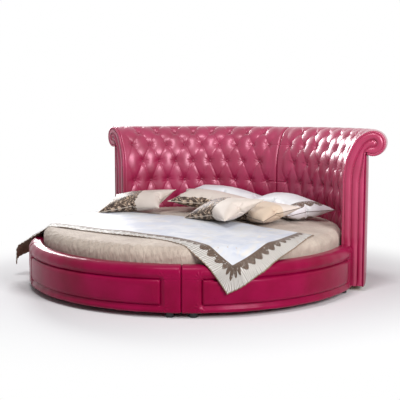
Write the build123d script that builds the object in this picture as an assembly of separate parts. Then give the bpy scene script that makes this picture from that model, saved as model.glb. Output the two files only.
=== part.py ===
from build123d import *
import os
from math import acos, asin, atan2, cos, degrees, hypot, radians, sin, sqrt

# A round bed. Five equal sections make a padded ring: three low rails and the two halves of a
# button-tufted headboard that rolls back into a scroll. Inside the ring a slatted deck carries a
# round mattress with its sheet, throw and pillows.
# Millimetres, +Z up. The origin is on the floor under the middle of the bed, and +Y points at the
# seam between the two headboard halves, so -Y is the foot end.

# Plan of the ring
mattress_radius = 1000.0
mattress_gap = 3.0
rail_width = 97.0
section_count = 5
seam_gap = 0.6
fit_gap = 0.3
overrun = 20.0
join_tolerance = 0.001

# Rail cover, a padded shell of artificial leather
floor_clearance = 30.0
rail_height = 296.0
rail_roll_radius = 46.0
rail_lip_radius = 24.0
rail_lip_thickness = 5.0
rail_lip_depth = 60.0
rail_bottom_radius = 14.0
rail_face_padding = 20.0
rail_top_padding = 26.0
cover_thickness = 2.0

# Inset panel of a rail
panel_margin = 104.0
panel_low = 82.0
panel_high = 218.0
panel_groove = 13.0
panel_depth = 14.0
panel_edge_radius = 8.0

# Plywood of the sections
board_thickness = 18.0
skin_thickness = 6.0
rib_count = 4
head_rib_count = 5

# Headboard outline, from the front foot over the scroll to the back
headboard_recess = 18.0
headboard_thickness = 147.0
flare_start = 700.0
flare_radius = 489.0
flare_turn = 30.6
neck_radius = 157.0
neck_turn = 77.7
scroll_radius = 80.0

# Headboard upholstery
pad_thickness = 40.0
pad_low = 216.0
back_padding = 4.7
facing_thickness = 15.0
facing_inset = 4.0
tongue_front = 58.0
tongue_width = 45.0
tongue_under_radius = 55.0
channel_groove_width = 5.0
channel_groove_depth = 6.0

# Tufting: heights of the button rows as shares of the headboard's height
row_height_shares = (0.440, 0.586, 0.734, 0.866, 0.961)
tuft_pitch = 7.6
first_tuft = 5.2
tufts_in_row = 9
tuft_ball_radius = 22.0
tuft_depth = 12.0
fold_half_width = 8.0
fold_depth = 5.0
button_radius = 11.0
button_back_gap = 0.3
button_crown = 5.0

# Slatted deck
ledge_width = 23.0
ledge_thickness = 35.0
slat_low = 197.0
slat_thickness = 12.0
slat_width = 70.0
slat_pitch = 122.0
beam_width = 60.0
beam_height = 40.0
beam_drop = 2.0
hanger_wall = 4.0
hanger_least_length = 25.0
hanger_tongue = 16.0
holder_wall = 4.0
holder_web = 6.0
leg_side = 50.0
leg_spacing = 500.0
leg_pad_thickness = 4.0
leg_count = 3

# Feet and fasteners
foot_radius = 27.0
foot_base_radius = 24.0
foot_from_seam = 66.0
foot_inset = 50.0
bolt_radius = 4.0
bolt_length = 70.0
bolt_head_radius = 9.0
bolt_head_height = 5.0
bolt_clearance = 0.5
bolt_inset = 64.0
bolt_low = 90.0
bolt_high = 140.0
nut_radius = 8.0
nut_height = 7.0
nut_clearance = 0.2
screw_radius = 3.0
screw_length = 34.0
screw_recess = 10.0
screw_head_radius = 6.0
screw_head_height = 4.0

# Mattress and fitted sheet
mattress_rise = 0.3
mattress_edge_top = 385.0
mattress_crown = 25.0
mattress_edge_radius = 60.0
core_top = 330.0
sheet_thickness = 2.0
sheet_skirt = 216.0

# Throw, laid across the foot half, its two foot corners hanging over the rails
throw_thickness = 4.0
throw_gap = 0.5
throw_foot = 745.0
throw_head = 60.0
throw_side = 268.0
throw_right_stand_off = 0.0
throw_right_corner_across = 825.0
throw_right_corner_height = 150.0
throw_right_side_across = 985.0
throw_right_side_height = 342.0
throw_right_end_across = 945.0
throw_right_end_height = 383.0
throw_left_stand_off = 85.0
throw_left_corner_across = 976.0
throw_left_corner_height = 98.0
throw_left_side_across = 1090.0
throw_left_side_height = 300.0
throw_left_end_across = 1000.0
throw_left_end_height = 352.0

# Pillows: two large ones at the back, four shams in front
large_pillow_width = 630.0
large_pillow_depth = 380.0
large_pillow_thickness = 150.0
sham_width = 510.0
sham_depth = 350.0
sham_thickness = 120.0

# Stations along a pillow's width, and its depth and rise there, as shares of the half sizes
pillow_place_shares = (-1.0, -0.74, 0.0, 0.74, 1.0)
pillow_depth_shares = (1.0, 0.95, 0.92, 0.95, 1.0)
pillow_rise_shares = (0.12, 0.74, 1.0, 0.74, 0.12)

# Values that follow from the sizes above
section_angle = 360.0 / section_count
half_angle = section_angle / 2
foot_centre = -90.0
right_centre = foot_centre + section_angle
head_right_centre = right_centre + section_angle
head_left_centre = head_right_centre + section_angle
left_centre = head_left_centre + section_angle
rail_sections = {"foot": foot_centre, "right": right_centre, "left": left_centre}
head_sections = {"right": head_right_centre, "left": head_left_centre}

# Middles of the pillows: place across and along the bed as shares of the mattress's radius, and
# height above its crown as a share of the pillow's thickness
pillow_middle_shares = {
    "pillow_back_left": (-0.228, 0.695, 0.5139),
    "pillow_back_right": (0.385, 0.600, 0.4395),
    "sham_rear_left": (-0.174, 0.396, 0.7422),
    "sham_rear_right": (0.393, 0.211, 0.5182),
    "sham_front_left": (-0.648, 0.128, 0.5750),
    "sham_front_middle": (0.233, 0.032, 0.7052),
}

# Turns of the pillows in degrees: rise of the back edge, fall of the right end, and turn in plan
pillow_turns = {
    "pillow_back_left": (3.0, 7.8, 14.8),
    "pillow_back_right": (4.0, 3.2, -27.0),
    "sham_rear_left": (9.4, 6.0, 16.3),
    "sham_rear_right": (11.5, -1.8, -14.9),
    "sham_front_left": (17.0, -7.0, 19.0),
    "sham_front_middle": (20.3, -4.6, -17.5),
}
large_pillows = ("pillow_back_left", "pillow_back_right")

rail_inner = mattress_radius + mattress_gap
rail_outer = rail_inner + rail_width
board_inner = rail_inner + rail_lip_thickness + fit_gap
face_inner = rail_outer - rail_face_padding
foot_circle_radius = rail_outer - foot_inset
bolt_circle_radius = rail_outer - bolt_inset
top_inner = rail_height - rail_top_padding
bottom_inner = floor_clearance + cover_thickness
front_radius = mattress_radius + headboard_recess
back_radius = front_radius + headboard_thickness
skin_inset = pad_thickness + fit_gap
back_skin_outer = back_radius - back_padding - fit_gap
back_skin_inner = back_skin_outer - skin_thickness
facing_back = seam_gap / 2 + facing_thickness
former_reach = facing_back + fit_gap + board_thickness
former_room = back_skin_inner - sqrt(back_skin_inner**2 - former_reach**2)
former_inset = skin_inset + skin_thickness + fit_gap + former_room
ledge_low = slat_low - ledge_thickness
ledge_inner = rail_inner + rail_lip_thickness - ledge_width
beam_end = sqrt(ledge_inner**2 - (beam_width / 2) ** 2) - fit_gap
holder_reach = slat_width / 2 + fit_gap + holder_wall
slat_room = beam_end - fit_gap - hanger_least_length - holder_reach
slat_rows = 2 * int(slat_room / slat_pitch + 1 / 2)

flare_centre = (front_radius + flare_radius, flare_start)
neck_centre = (
    flare_centre[0] - (flare_radius - neck_radius) * cos(radians(flare_turn)),
    flare_centre[1] + (flare_radius - neck_radius) * sin(radians(flare_turn)),
)
scroll_centre = (
    neck_centre[0] - (neck_radius - scroll_radius) * cos(radians(neck_turn)),
    neck_centre[1] + (neck_radius - scroll_radius) * sin(radians(neck_turn)),
)
headboard_height = scroll_centre[1] + scroll_radius
scroll_outer = scroll_centre[0] + scroll_radius
scroll_end = 360.0 - degrees(acos((scroll_centre[0] - back_radius) / scroll_radius))
back_cover_top = scroll_centre[1] - sqrt(scroll_radius**2 - (scroll_centre[0] - back_radius) ** 2)


def polar(radius, angle, height):
    """Point at a radius and an angle about the bed's axis."""
    return Vector(radius * cos(radians(angle)), radius * sin(radians(angle)), height)


def turn_point(centre, radius, turn):
    """Point of a rolling outline whose direction has turned back from upright by an angle."""
    return (centre[0] - radius * cos(radians(turn)), centre[1] + radius * sin(radians(turn)))


def turn_arc(centre, radius, start, end):
    """Arc of a rolling outline between two turns, less than half a circle apart."""
    middle = (start + end) / 2
    return ThreePointArc(*(turn_point(centre, radius, turn) for turn in (start, middle, end)))


def face_of(pieces):
    """Closed face through corner points and arcs in order, joined by straight lines."""
    edges, ends = [], []
    for piece in pieces:
        if isinstance(piece, tuple):
            ends.append((Vector(*piece), Vector(*piece)))
        else:
            ends.append((piece @ 0, piece @ 1))
            edges.append(piece)
    for (_, leave), (reach, _) in zip(ends, ends[1:] + ends[:1]):
        if (leave - reach).length > join_tolerance:
            edges.append(Line(leave, reach))
    return make_face(Wire(edges))


def rectangle(inner, outer, low, high):
    """Rectangle between two radii and two heights."""
    return face_of([(inner, low), (outer, low), (outer, high), (inner, high)])


def crown_arc(reach, low, rise):
    """Arc from a rim at a reach and a height to the axis, higher there by a rise."""
    radius = (reach**2 + rise**2) / (2 * rise)
    turn = asin(reach / radius) / 2
    middle = (radius * sin(turn), low + rise - radius + radius * cos(turn))
    return ThreePointArc((reach, low), middle, (0, low + rise))


def turned(face):
    """Fully turned piece."""
    return revolve(Plane.XZ * face, Axis.Z, 360)


def seam_slab(angle, reach):
    """Upright slab that covers a seam plane and a reach to both sides of it."""
    length = scroll_outer + overrun
    height = headboard_height + 2 * overrun
    slab = Pos(length / 2, 0, height / 2 - overrun) * Box(length, 2 * reach, height)
    return slab.rotate(Axis.Z, angle)


def ring_piece(face, start, span):
    """Part of a turned ring from a start angle over a span."""
    return revolve(Plane.XZ * face, Axis.Z, span).rotate(Axis.Z, start)


def section_piece(face, centre, clear_start, clear_end):
    """Turned piece over one section, short of its two seam planes by the given distances."""
    piece = ring_piece(face, centre - half_angle, section_angle)
    piece = piece - seam_slab(centre - half_angle, clear_start)
    return piece - seam_slab(centre + half_angle, clear_end)


def radial_plate(face, angle, near, thickness):
    """Flat plate beside a radial plane, from a signed distance near, towards larger angles."""
    plate = extrude(Plane.XZ * face, thickness)
    return plate.moved(Pos(0, near + thickness, 0)).rotate(Axis.Z, angle)


def seam_holes(solid, angle):
    """The solid with the bolt holes of one seam."""
    for height in (bolt_low, bolt_high):
        solid = solid - across_seam(bolt_radius + bolt_clearance, 2 * bolt_length, 0, angle, height)
    return solid


def across_seam(radius, length, middle, angle, height):
    """Round bar square to a seam plane, its middle a signed distance beyond that plane."""
    bar = Pos(bolt_circle_radius, middle, height) * Rot(90, 0, 0) * Cylinder(radius, length)
    return bar.rotate(Axis.Z, angle)


def foot_places():
    """Places of the feet, one on each side of every seam."""
    step = degrees(foot_from_seam / foot_circle_radius)
    seams = [foot_centre + half_angle + section_angle * k for k in range(section_count)]
    return [polar(foot_circle_radius, seam + side * step, 0) for seam in seams for side in (-1, 1)]


def foot_holes(solid):
    """The solid with the holes for the screws of the feet."""
    reach = floor_clearance + board_thickness + overrun
    for place in foot_places():
        drill = Cylinder(screw_radius + fit_gap, 2 * reach)
        solid = solid - drill.moved(Pos(place.X, place.Y, 0))
    return solid


def largest(shape):
    """The largest solid of a cut shape."""
    return shape.solids().sort_by(SortBy.VOLUME)[-1]


def rail_outline():
    """Outer outline of a rail cover, from the inside lip over the roll to the bottom."""
    roll = (rail_outer - rail_roll_radius, rail_height - rail_roll_radius)
    lip = (rail_inner + rail_lip_radius, rail_height - rail_lip_radius)
    bottom = (rail_outer - rail_bottom_radius, floor_clearance + rail_bottom_radius)
    lip_bottom = rail_height - rail_lip_depth
    return [
        (rail_inner, lip_bottom),
        turn_arc(lip, rail_lip_radius, 0, 90),
        turn_arc(roll, rail_roll_radius, 90, 180),
        turn_arc(bottom, rail_bottom_radius, 180, 270),
        (board_inner, floor_clearance),
        (board_inner, lip_bottom),
    ]


def rail_cover(centre):
    """Padded shell of a rail: open to the inside, closed at its ends, with a pocket outside."""
    end_clear = seam_gap / 2
    shell = section_piece(face_of(rail_outline()), centre, end_clear, end_clear)
    room = rectangle(rail_inner + rail_lip_thickness, face_inner, bottom_inner, top_inner)
    wall_clear = end_clear + cover_thickness
    shell = shell - section_piece(room, centre, wall_clear, wall_clear)
    groove_turn = degrees(panel_margin / rail_outer)
    pocket = rectangle(
        rail_outer - panel_depth,
        rail_outer + overrun,
        panel_low - panel_groove,
        panel_high + panel_groove,
    )
    span = section_angle - 2 * groove_turn
    shell = shell - ring_piece(pocket, centre - half_angle + groove_turn, span)
    for side in (-1, 1):
        shell = seam_holes(shell, centre + side * half_angle)
    return largest(foot_holes(shell))


def rail_panel(centre):
    """Padded panel that sits in the pocket of a rail cover."""
    margin = degrees((panel_margin + panel_groove) / rail_outer)
    profile = rectangle(rail_outer - panel_depth + fit_gap, rail_outer, panel_low, panel_high)
    panel = ring_piece(profile, centre - half_angle + margin, section_angle - 2 * margin)
    outside = panel.faces().sort_by(SortBy.AREA)[-1]
    return fillet(outside.edges(), panel_edge_radius)


def rail_ribs(centre):
    """Upright plywood ribs of a rail: one at each end and the others evenly between."""
    outer = face_inner - 2 * fit_gap - board_thickness
    low = bottom_inner + board_thickness
    face = rectangle(board_inner, outer, low, top_inner - board_thickness)
    wall = seam_gap / 2 + cover_thickness
    first = radial_plate(face, centre - half_angle, wall, board_thickness)
    last = radial_plate(face, centre + half_angle, -wall - board_thickness, board_thickness)
    ribs = [seam_holes(first, centre - half_angle), seam_holes(last, centre + half_angle)]
    step = section_angle / (rib_count - 1)
    for k in range(1, rib_count - 1):
        angle = centre - half_angle + k * step
        ribs.append(radial_plate(face, angle, -board_thickness / 2, board_thickness))
    return ribs


def rail_pieces(name, centre):
    """All pieces of one rail."""
    clear = seam_gap / 2 + cover_thickness + fit_gap
    outer = face_inner - fit_gap
    inside = outer - board_thickness
    outer_board = rectangle(inside, outer, bottom_inner, top_inner)
    bottom = rectangle(board_inner, inside - fit_gap, bottom_inner, bottom_inner + board_thickness)
    top = rectangle(board_inner, inside - fit_gap, top_inner - board_thickness, top_inner)
    ledge = rectangle(ledge_inner, board_inner - fit_gap, ledge_low, slat_low)
    plain_end = seam_gap / 2
    return {
        name + "_rail_cover": [rail_cover(centre)],
        name + "_rail_panel": [rail_panel(centre)],
        name + "_rail_outer_board": [section_piece(outer_board, centre, clear, clear)],
        name + "_rail_bottom_board": [foot_holes(section_piece(bottom, centre, clear, clear))],
        name + "_rail_top_board": [section_piece(top, centre, clear, clear)],
        name + "_rail_ribs": rail_ribs(centre),
        name + "_rail_ledge": [section_piece(ledge, centre, plain_end, plain_end)],
    }


def scroll_arcs(inset, end):
    """Centre, radius and turns of each arc of the headboard's outline, set in by a distance."""
    middle = (neck_turn + end) / 2
    return [
        (flare_centre, flare_radius - inset, 0, flare_turn),
        (neck_centre, neck_radius - inset, flare_turn, neck_turn),
        (scroll_centre, scroll_radius - inset, neck_turn, middle),
        (scroll_centre, scroll_radius - inset, middle, end),
    ]


def scroll_line(inset, low, end):
    """Outline of the headboard's front and scroll, from a height up to a turn of the scroll."""
    return [(front_radius + inset, low)] + [turn_arc(*arc) for arc in scroll_arcs(inset, end)]


def scroll_band(near, far, low, end):
    """Band between two insets of the headboard's front and scroll."""
    arcs = [turn_arc(c, r, stop, start) for c, r, start, stop in reversed(scroll_arcs(far, end))]
    return face_of(scroll_line(near, low, end) + arcs + [(front_radius + far, low)])


def front_point(height):
    """Radius and turn of the headboard's front at a height."""
    if height <= flare_start:
        return front_radius, 0.0
    turn = degrees(asin((height - flare_centre[1]) / flare_radius))
    if turn <= flare_turn:
        return turn_point(flare_centre, flare_radius, turn)[0], turn
    turn = degrees(asin((height - neck_centre[1]) / neck_radius))
    return turn_point(neck_centre, neck_radius, turn)[0], turn


def surface_point(height, angle, out):
    """Point in front of the headboard's face by a distance, at a height and an angle."""
    radius, turn = front_point(height)
    return polar(radius - out * cos(radians(turn)), angle, height + out * sin(radians(turn)))


def tuft_rows(side):
    """Height and angles of each row of buttons of one half; side is 1 to the left, -1 right."""
    rows = []
    for index, share in enumerate(row_height_shares):
        odd = index % 2 == 0
        count = tufts_in_row - 1 if odd else tufts_in_row
        start = first_tuft + (tuft_pitch / 2 if odd else 0)
        seam = (head_right_centre + head_left_centre) / 2
        angles = [seam + side * (start + tuft_pitch * k) for k in range(count)]
        rows.append((share * headboard_height, angles))
    return rows


def dimples(side):
    """Balls that press the pad in at the buttons."""
    balls = []
    for height, angles in tuft_rows(side):
        for angle in angles:
            place = surface_point(height, angle, tuft_ball_radius - tuft_depth)
            balls.append(Pos(*place) * Sphere(tuft_ball_radius))
    return balls


def wedge(low, low_angle, high, high_angle):
    """Straight run of a sewn fold, between two points of the headboard's face."""
    start = surface_point(low, low_angle, 0)
    run = surface_point(high, high_angle, 0) - start
    height, angle = (low + high) / 2, (low_angle + high_angle) / 2
    out = surface_point(height, angle, fold_depth) - surface_point(height, angle, 0)
    left, right = (-fold_half_width, fold_depth), (fold_half_width, fold_depth)
    face = face_of([left, (0, -fold_depth), right])
    return extrude(Plane(origin=start, x_dir=out.cross(run), z_dir=run) * face, run.length)


def folds(side):
    """Sewn folds between the buttons of neighbouring rows, bent once where the face curves."""
    cuts = []
    rows = tuft_rows(side)
    for (low, low_angles), (high, high_angles) in zip(rows, rows[1:]):
        for a in low_angles:
            for b in high_angles:
                if abs(a - b) > tuft_pitch:
                    continue
                middle, between = (low + high) / 2, (a + b) / 2
                if high <= flare_start:
                    cuts.append(wedge(low, a, high, b))
                else:
                    cuts += [wedge(low, a, middle, between), wedge(middle, between, high, b)]
    return cuts


def button():
    """One upholstered button about the ball of its dimple, its back towards -Z."""
    back = tuft_ball_radius - button_back_gap
    turn = asin(button_radius / back)
    rim = -back * cos(turn)
    middle = (back * sin(turn / 2), -back * cos(turn / 2))
    behind = ThreePointArc((0, -back), middle, (button_radius, rim))
    return turned(face_of([behind, crown_arc(button_radius, rim, button_crown)]))


def buttons(side):
    """All buttons of one half, each square to the headboard's face."""
    solids = []
    shape = button()
    for height, angles in tuft_rows(side):
        for angle in angles:
            place = surface_point(height, angle, tuft_ball_radius - tuft_depth)
            out = place - surface_point(height, angle, 0)
            solids.append(Plane(origin=place, z_dir=out) * shape)
    return solids


def head_clears(side):
    """Clearances of a half at its lower and its higher seam angle; side is 1 left, -1 right."""
    outer = facing_back + fit_gap
    middle = seam_gap / 2
    return (middle, outer) if side > 0 else (outer, middle)


def head_pad(centre, side):
    """Tufted pad from behind the mattress over the scroll."""
    band = scroll_band(0, pad_thickness, pad_low, scroll_end)
    pad = section_piece(band, centre, *head_clears(side))
    return largest(pad - folds(side) - dimples(side))


def head_ribs(centre, side):
    """Plywood formers of one half: a toe under the ledge and a rolled top."""
    low = floor_clearance + board_thickness
    scroll = scroll_line(former_inset, ledge_low, scroll_end)
    back = back_skin_inner - former_room - fit_gap
    toe = [(board_inner, low), (board_inner, ledge_low)]
    face = face_of(toe + scroll + [(back, back_cover_top + back_padding), (back, low)])
    near_start, near_end = head_clears(side)
    first = radial_plate(face, centre - half_angle, near_start, board_thickness)
    last = radial_plate(face, centre + half_angle, -near_end - board_thickness, board_thickness)
    ribs = [seam_holes(first, centre - half_angle), seam_holes(last, centre + half_angle)]
    step = section_angle / (head_rib_count - 1)
    for k in range(1, head_rib_count - 1):
        angle = centre - half_angle + k * step
        ribs.append(radial_plate(face, angle, -board_thickness / 2, board_thickness))
    return ribs


def tongue_face(grow):
    """Inner channel of the end facing, grown all round by a distance."""
    inset = tongue_front - grow
    line = scroll_line(inset, floor_clearance - overrun, 270)
    under = (scroll_centre[0], scroll_centre[1] - scroll_radius + tongue_front - tongue_under_radius)
    back = front_radius + tongue_front + tongue_width + grow
    hook = turn_arc(under, tongue_under_radius - grow, 90, 0)
    return face_of(line + [hook, (back, flare_start), (back, floor_clearance - overrun)])


def head_facing(angle, side):
    """Channelled facing on the outer end of one half."""
    reach = scroll_radius - facing_inset
    back = back_radius - facing_inset
    end = 360 - degrees(acos((scroll_centre[0] - back) / reach))
    outline = scroll_line(facing_inset, floor_clearance, end)
    face = face_of(outline + [(back, floor_clearance)])
    near = seam_gap / 2
    groove = tongue_face(channel_groove_width / 2) - tongue_face(-channel_groove_width / 2)
    if side > 0:
        plate = radial_plate(face, angle, -facing_back, facing_thickness)
        cut = radial_plate(groove, angle, -near - channel_groove_depth, channel_groove_depth)
    else:
        plate = radial_plate(face, angle, near, facing_thickness)
        cut = radial_plate(groove, angle, near, channel_groove_depth)
    return largest(seam_holes(plate - cut, angle))


def head_pieces(name, centre):
    """All pieces of one half of the headboard."""
    side = 1 if centre > section_angle else -1
    clears = head_clears(side)
    plate_top = floor_clearance + board_thickness
    cover_top = back_cover_top - fit_gap
    skin = scroll_band(skin_inset, skin_inset + skin_thickness, slat_low, scroll_end)
    back_skin = rectangle(back_skin_inner, back_skin_outer, plate_top, cover_top)
    cover = rectangle(back_radius - back_padding, back_radius, floor_clearance, cover_top)
    plate = rectangle(board_inner, back_skin_outer, floor_clearance, plate_top)
    ledge_outer = front_radius + skin_inset + skin_thickness
    ledge = rectangle(ledge_inner, ledge_outer, ledge_low, slat_low)
    start = "headboard_" + name
    return {
        start + "_pad": [head_pad(centre, side)],
        start + "_buttons": buttons(side),
        start + "_end_facing": [head_facing(centre + side * half_angle, side)],
        start + "_front_skin": [section_piece(skin, centre, *clears)],
        start + "_back_skin": [section_piece(back_skin, centre, *clears)],
        start + "_back_cover": [section_piece(cover, centre, *clears)],
        start + "_ribs": head_ribs(centre, side),
        start + "_bottom_plate": [foot_holes(section_piece(plate, centre, *clears))],
        start + "_ledge": [section_piece(ledge, centre, *clears)],
    }


def slat_line(row):
    """Distance of a slat row from the middle of the bed towards the headboard."""
    return (row - (slat_rows - 1) / 2) * slat_pitch


def slats(side):
    """Half slats of one side, their outer ends cut round to lie on the ledge."""
    inner = holder_web / 2 + fit_gap
    length = mattress_radius
    middle = slat_low + slat_thickness / 2
    rim = Pos(0, 0, middle) * Cylinder(mattress_radius, 2 * slat_thickness)
    solids = []
    for row in range(slat_rows):
        slat = Box(length, slat_width, slat_thickness)
        slat = slat.moved(Pos(side * (inner + length / 2), slat_line(row), middle))
        solids.append((slat & rim).solid())
    return solids


def slat_holders():
    """Cradles on the beam that hold the inner ends of the slats."""
    top = slat_low + slat_thickness
    low = slat_low - beam_drop
    width = 2 * holder_reach
    block = Pos(0, 0, (low + top) / 2) * Box(beam_width, width, top - low)
    pocket = Box(beam_width, slat_width + 2 * fit_gap, 2 * slat_thickness)
    for side in (-1, 1):
        shift = side * (holder_web / 2 + beam_width / 2)
        block = block - pocket.moved(Pos(shift, 0, slat_low + slat_thickness))
    return [block.moved(Pos(0, slat_line(row), 0)) for row in range(slat_rows)]


def hanger_length():
    """Length of the hangers' collars, from the last slat holder to the beam's end."""
    return beam_end - slat_line(slat_rows - 1) - holder_reach - fit_gap


def beam_hanger(side):
    """Steel collar round one end of the beam, with a tongue over the ledge."""
    collar_length = hanger_length()
    top = slat_low - beam_drop
    bottom = top - beam_height
    width = beam_width + 2 * (hanger_wall + fit_gap)
    high = slat_low + hanger_wall
    low = bottom - fit_gap - hanger_wall
    collar = Pos(0, beam_end - collar_length / 2, (low + high) / 2) * Box(width, collar_length, high - low)
    room = Box(beam_width + 2 * fit_gap, 2 * collar_length, beam_height + 2 * fit_gap)
    collar = collar - room.moved(Pos(0, beam_end, (top + bottom) / 2))
    length = collar_length + hanger_tongue
    tongue = Pos(0, beam_end - collar_length + length / 2, (slat_low + high) / 2)
    hanger = collar + tongue * Box(width, length, hanger_wall)
    return hanger if side > 0 else mirror(hanger, Plane.XZ)


def deck_pieces():
    """Beam, hangers, legs, slats and their holders."""
    top = slat_low - beam_drop
    bottom = top - beam_height
    beam = Pos(0, 0, (top + bottom) / 2) * Box(beam_width, 2 * beam_end, beam_height)
    leg_height = bottom - leg_pad_thickness
    leg = Pos(0, 0, leg_pad_thickness + leg_height / 2) * Box(leg_side, leg_side, leg_height)
    pad = Pos(0, 0, leg_pad_thickness / 2) * Box(leg_side, leg_side, leg_pad_thickness)
    lines = [(k - (leg_count - 1) / 2) * leg_spacing for k in range(leg_count)]
    return {
        "deck_beam": [beam],
        "deck_beam_hangers": [beam_hanger(-1), beam_hanger(1)],
        "deck_legs": [leg.moved(Pos(0, line, 0)) for line in lines],
        "deck_leg_pads": [pad.moved(Pos(0, line, 0)) for line in lines],
        "deck_slats_right": slats(1),
        "deck_slats_left": slats(-1),
        "deck_slat_holders": slat_holders(),
    }


def seam_stacks():
    """Angle of each seam and the depth of what its bolts clamp on its two sides."""
    rail = seam_gap / 2 + cover_thickness + board_thickness
    outer = facing_back + fit_gap + board_thickness
    middle = seam_gap / 2 + board_thickness
    return [
        (foot_centre + half_angle, rail, rail),
        (right_centre + half_angle, rail, outer),
        (head_right_centre + half_angle, middle, middle),
        (head_left_centre + half_angle, outer, rail),
        (left_centre + half_angle, rail, rail),
    ]


def seam_bolts():
    """Bolts across the seams, their heads on the side of the smaller angle."""
    solids = []
    for angle, before, _ in seam_stacks():
        for height in (bolt_low, bolt_high):
            shaft_middle = bolt_length / 2 - before
            head_middle = -before - bolt_head_height / 2
            shaft = across_seam(bolt_radius, bolt_length, shaft_middle, angle, height)
            head = across_seam(bolt_head_radius, bolt_head_height, head_middle, angle, height)
            solids.append(shaft + head)
    return solids


def seam_nuts():
    """Nuts on the seam bolts."""
    solids = []
    for angle, _, behind in seam_stacks():
        for height in (bolt_low, bolt_high):
            hexagon = extrude(RegularPolygon(nut_radius, 6), nut_height / 2, both=True)
            nut = hexagon - Cylinder(bolt_radius + nut_clearance, 2 * nut_height)
            middle = behind + nut_height / 2
            nut = Pos(bolt_circle_radius, middle, height) * Rot(90, 0, 0) * nut
            solids.append(nut.rotate(Axis.Z, angle))
    return solids


def fastener_pieces():
    """Feet with their screws, and the bolts and nuts of the seams."""
    foot = Pos(0, 0, floor_clearance / 2) * Cone(foot_base_radius, foot_radius, floor_clearance)
    foot = foot - Cylinder(screw_radius + fit_gap, 2 * floor_clearance + overrun)
    foot = foot - Cylinder(screw_head_radius + fit_gap, 2 * screw_recess)
    shaft = Pos(0, 0, screw_recess + screw_length / 2) * Cylinder(screw_radius, screw_length)
    head_middle = screw_recess - screw_head_height / 2
    head = Pos(0, 0, head_middle) * Cylinder(screw_head_radius, screw_head_height)
    screw = shaft + head
    places = foot_places()
    return {
        "seam_bolts": seam_bolts(),
        "seam_nuts": seam_nuts(),
        "feet": [foot.moved(Pos(place.X, place.Y, 0)) for place in places],
        "feet_screws": [screw.moved(Pos(place.X, place.Y, 0)) for place in places],
    }


def edge_centre():
    """Centre of the round of the mattress's upper edge."""
    return (mattress_radius - mattress_edge_radius, mattress_edge_top - mattress_edge_radius)


def mattress_face(inset, low):
    """Half section of the mattress, set in by a distance, down to a height."""
    centre = edge_centre()
    edge = turn_arc(centre, mattress_edge_radius - inset, 180, 90)
    crown = crown_arc(centre[0], mattress_edge_top - inset, mattress_crown)
    return face_of([(0, low), (mattress_radius - inset, low), edge, crown])


def mattress_pieces():
    """Core, comfort layer and fitted sheet."""
    low = slat_low + slat_thickness + mattress_rise
    inset = sheet_thickness + fit_gap
    core = turned(rectangle(0, mattress_radius - inset, low, core_top))
    comfort = turned(mattress_face(inset, core_top))
    sheet = turned(mattress_face(0, sheet_skirt))
    sheet = sheet - turned(mattress_face(sheet_thickness, sheet_skirt - overrun))
    return {
        "mattress_core": [core],
        "mattress_comfort_layer": [comfort],
        "fitted_sheet": [sheet],
    }


def drape_line(gap, stand_off, bottom, back):
    """Section of cloth over the mattress's edge and the rail's roll, from either end."""
    edge = edge_centre()
    roll = (rail_outer - rail_roll_radius + stand_off, rail_height - rail_roll_radius)
    across, down = roll[0] - edge[0], roll[1] - edge[1]
    lean = degrees(acos((mattress_edge_radius - rail_roll_radius) / hypot(across, down)))
    turn = 180 - lean - degrees(atan2(down, across))
    arcs = [
        (edge, mattress_edge_radius + gap, 90, turn),
        (roll, rail_roll_radius + gap, turn, 180),
    ]
    crown = crown_arc(edge[0], mattress_edge_top + gap, mattress_crown)
    hem = (rail_outer + stand_off + gap, bottom)
    if back:
        return [hem] + [turn_arc(c, r, end, start) for c, r, start, end in reversed(arcs)] + [crown]
    crown = ThreePointArc(crown @ 1, crown @ 0.5, crown @ 0)
    return [crown] + [turn_arc(*arc) for arc in arcs] + [hem]


def throw_half(side, stand_off, corner, beside, end):
    """Half of the throw on one side, cut slantwise through three points of its end hem."""
    hem = corner[1] - 2 * overrun
    near = drape_line(throw_gap, stand_off, hem, False)
    far = drape_line(throw_gap + throw_thickness, stand_off, hem, True)
    cloth = turned(face_of(near + far))
    depth = throw_foot + throw_head
    middle = (throw_head - throw_foot) / 2
    tall = 2 * headboard_height
    cloth = cloth & (Pos(scroll_outer / 2, middle, 0) * Box(scroll_outer, depth, tall))
    foot = Vector(corner[0], -throw_foot, corner[1])
    along = Vector(end[0], throw_head, end[1]) - foot
    across = Vector(beside[0], -throw_side, beside[1]) - foot
    plane = Plane(origin=foot, x_dir=along, z_dir=across.cross(along))
    half = split(cloth, plane, keep=Keep.TOP)
    return half if side > 0 else mirror(half, Plane.YZ)


def throw():
    """Throw over the foot half of the mattress."""
    right = throw_half(
        1,
        throw_right_stand_off,
        (throw_right_corner_across, throw_right_corner_height),
        (throw_right_side_across, throw_right_side_height),
        (throw_right_end_across, throw_right_end_height),
    )
    left = throw_half(
        -1,
        throw_left_stand_off,
        (throw_left_corner_across, throw_left_corner_height),
        (throw_left_side_across, throw_left_side_height),
        (throw_left_end_across, throw_left_end_height),
    )
    return largest(right + left)


def lens(half_depth, half_rise, across):
    """Pointed oval across a pillow, in the plane at a distance along its width."""
    top = ThreePointArc((-half_depth, 0), (0, half_rise), (half_depth, 0))
    bottom = ThreePointArc((half_depth, 0), (0, -half_rise), (-half_depth, 0))
    return Plane(origin=(across, 0, 0), x_dir=(0, 1, 0), z_dir=(1, 0, 0)) * make_face(Wire([top, bottom]))


def pillow(width, depth, thickness):
    """Pillow lying flat about the origin: crowned, with drawn-in sides and pointed corners."""
    sections = [
        lens(depth / 2 * narrow, thickness / 2 * rise, width / 2 * place)
        for place, narrow, rise in zip(pillow_place_shares, pillow_depth_shares, pillow_rise_shares)
    ]
    return loft(sections)


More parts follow.
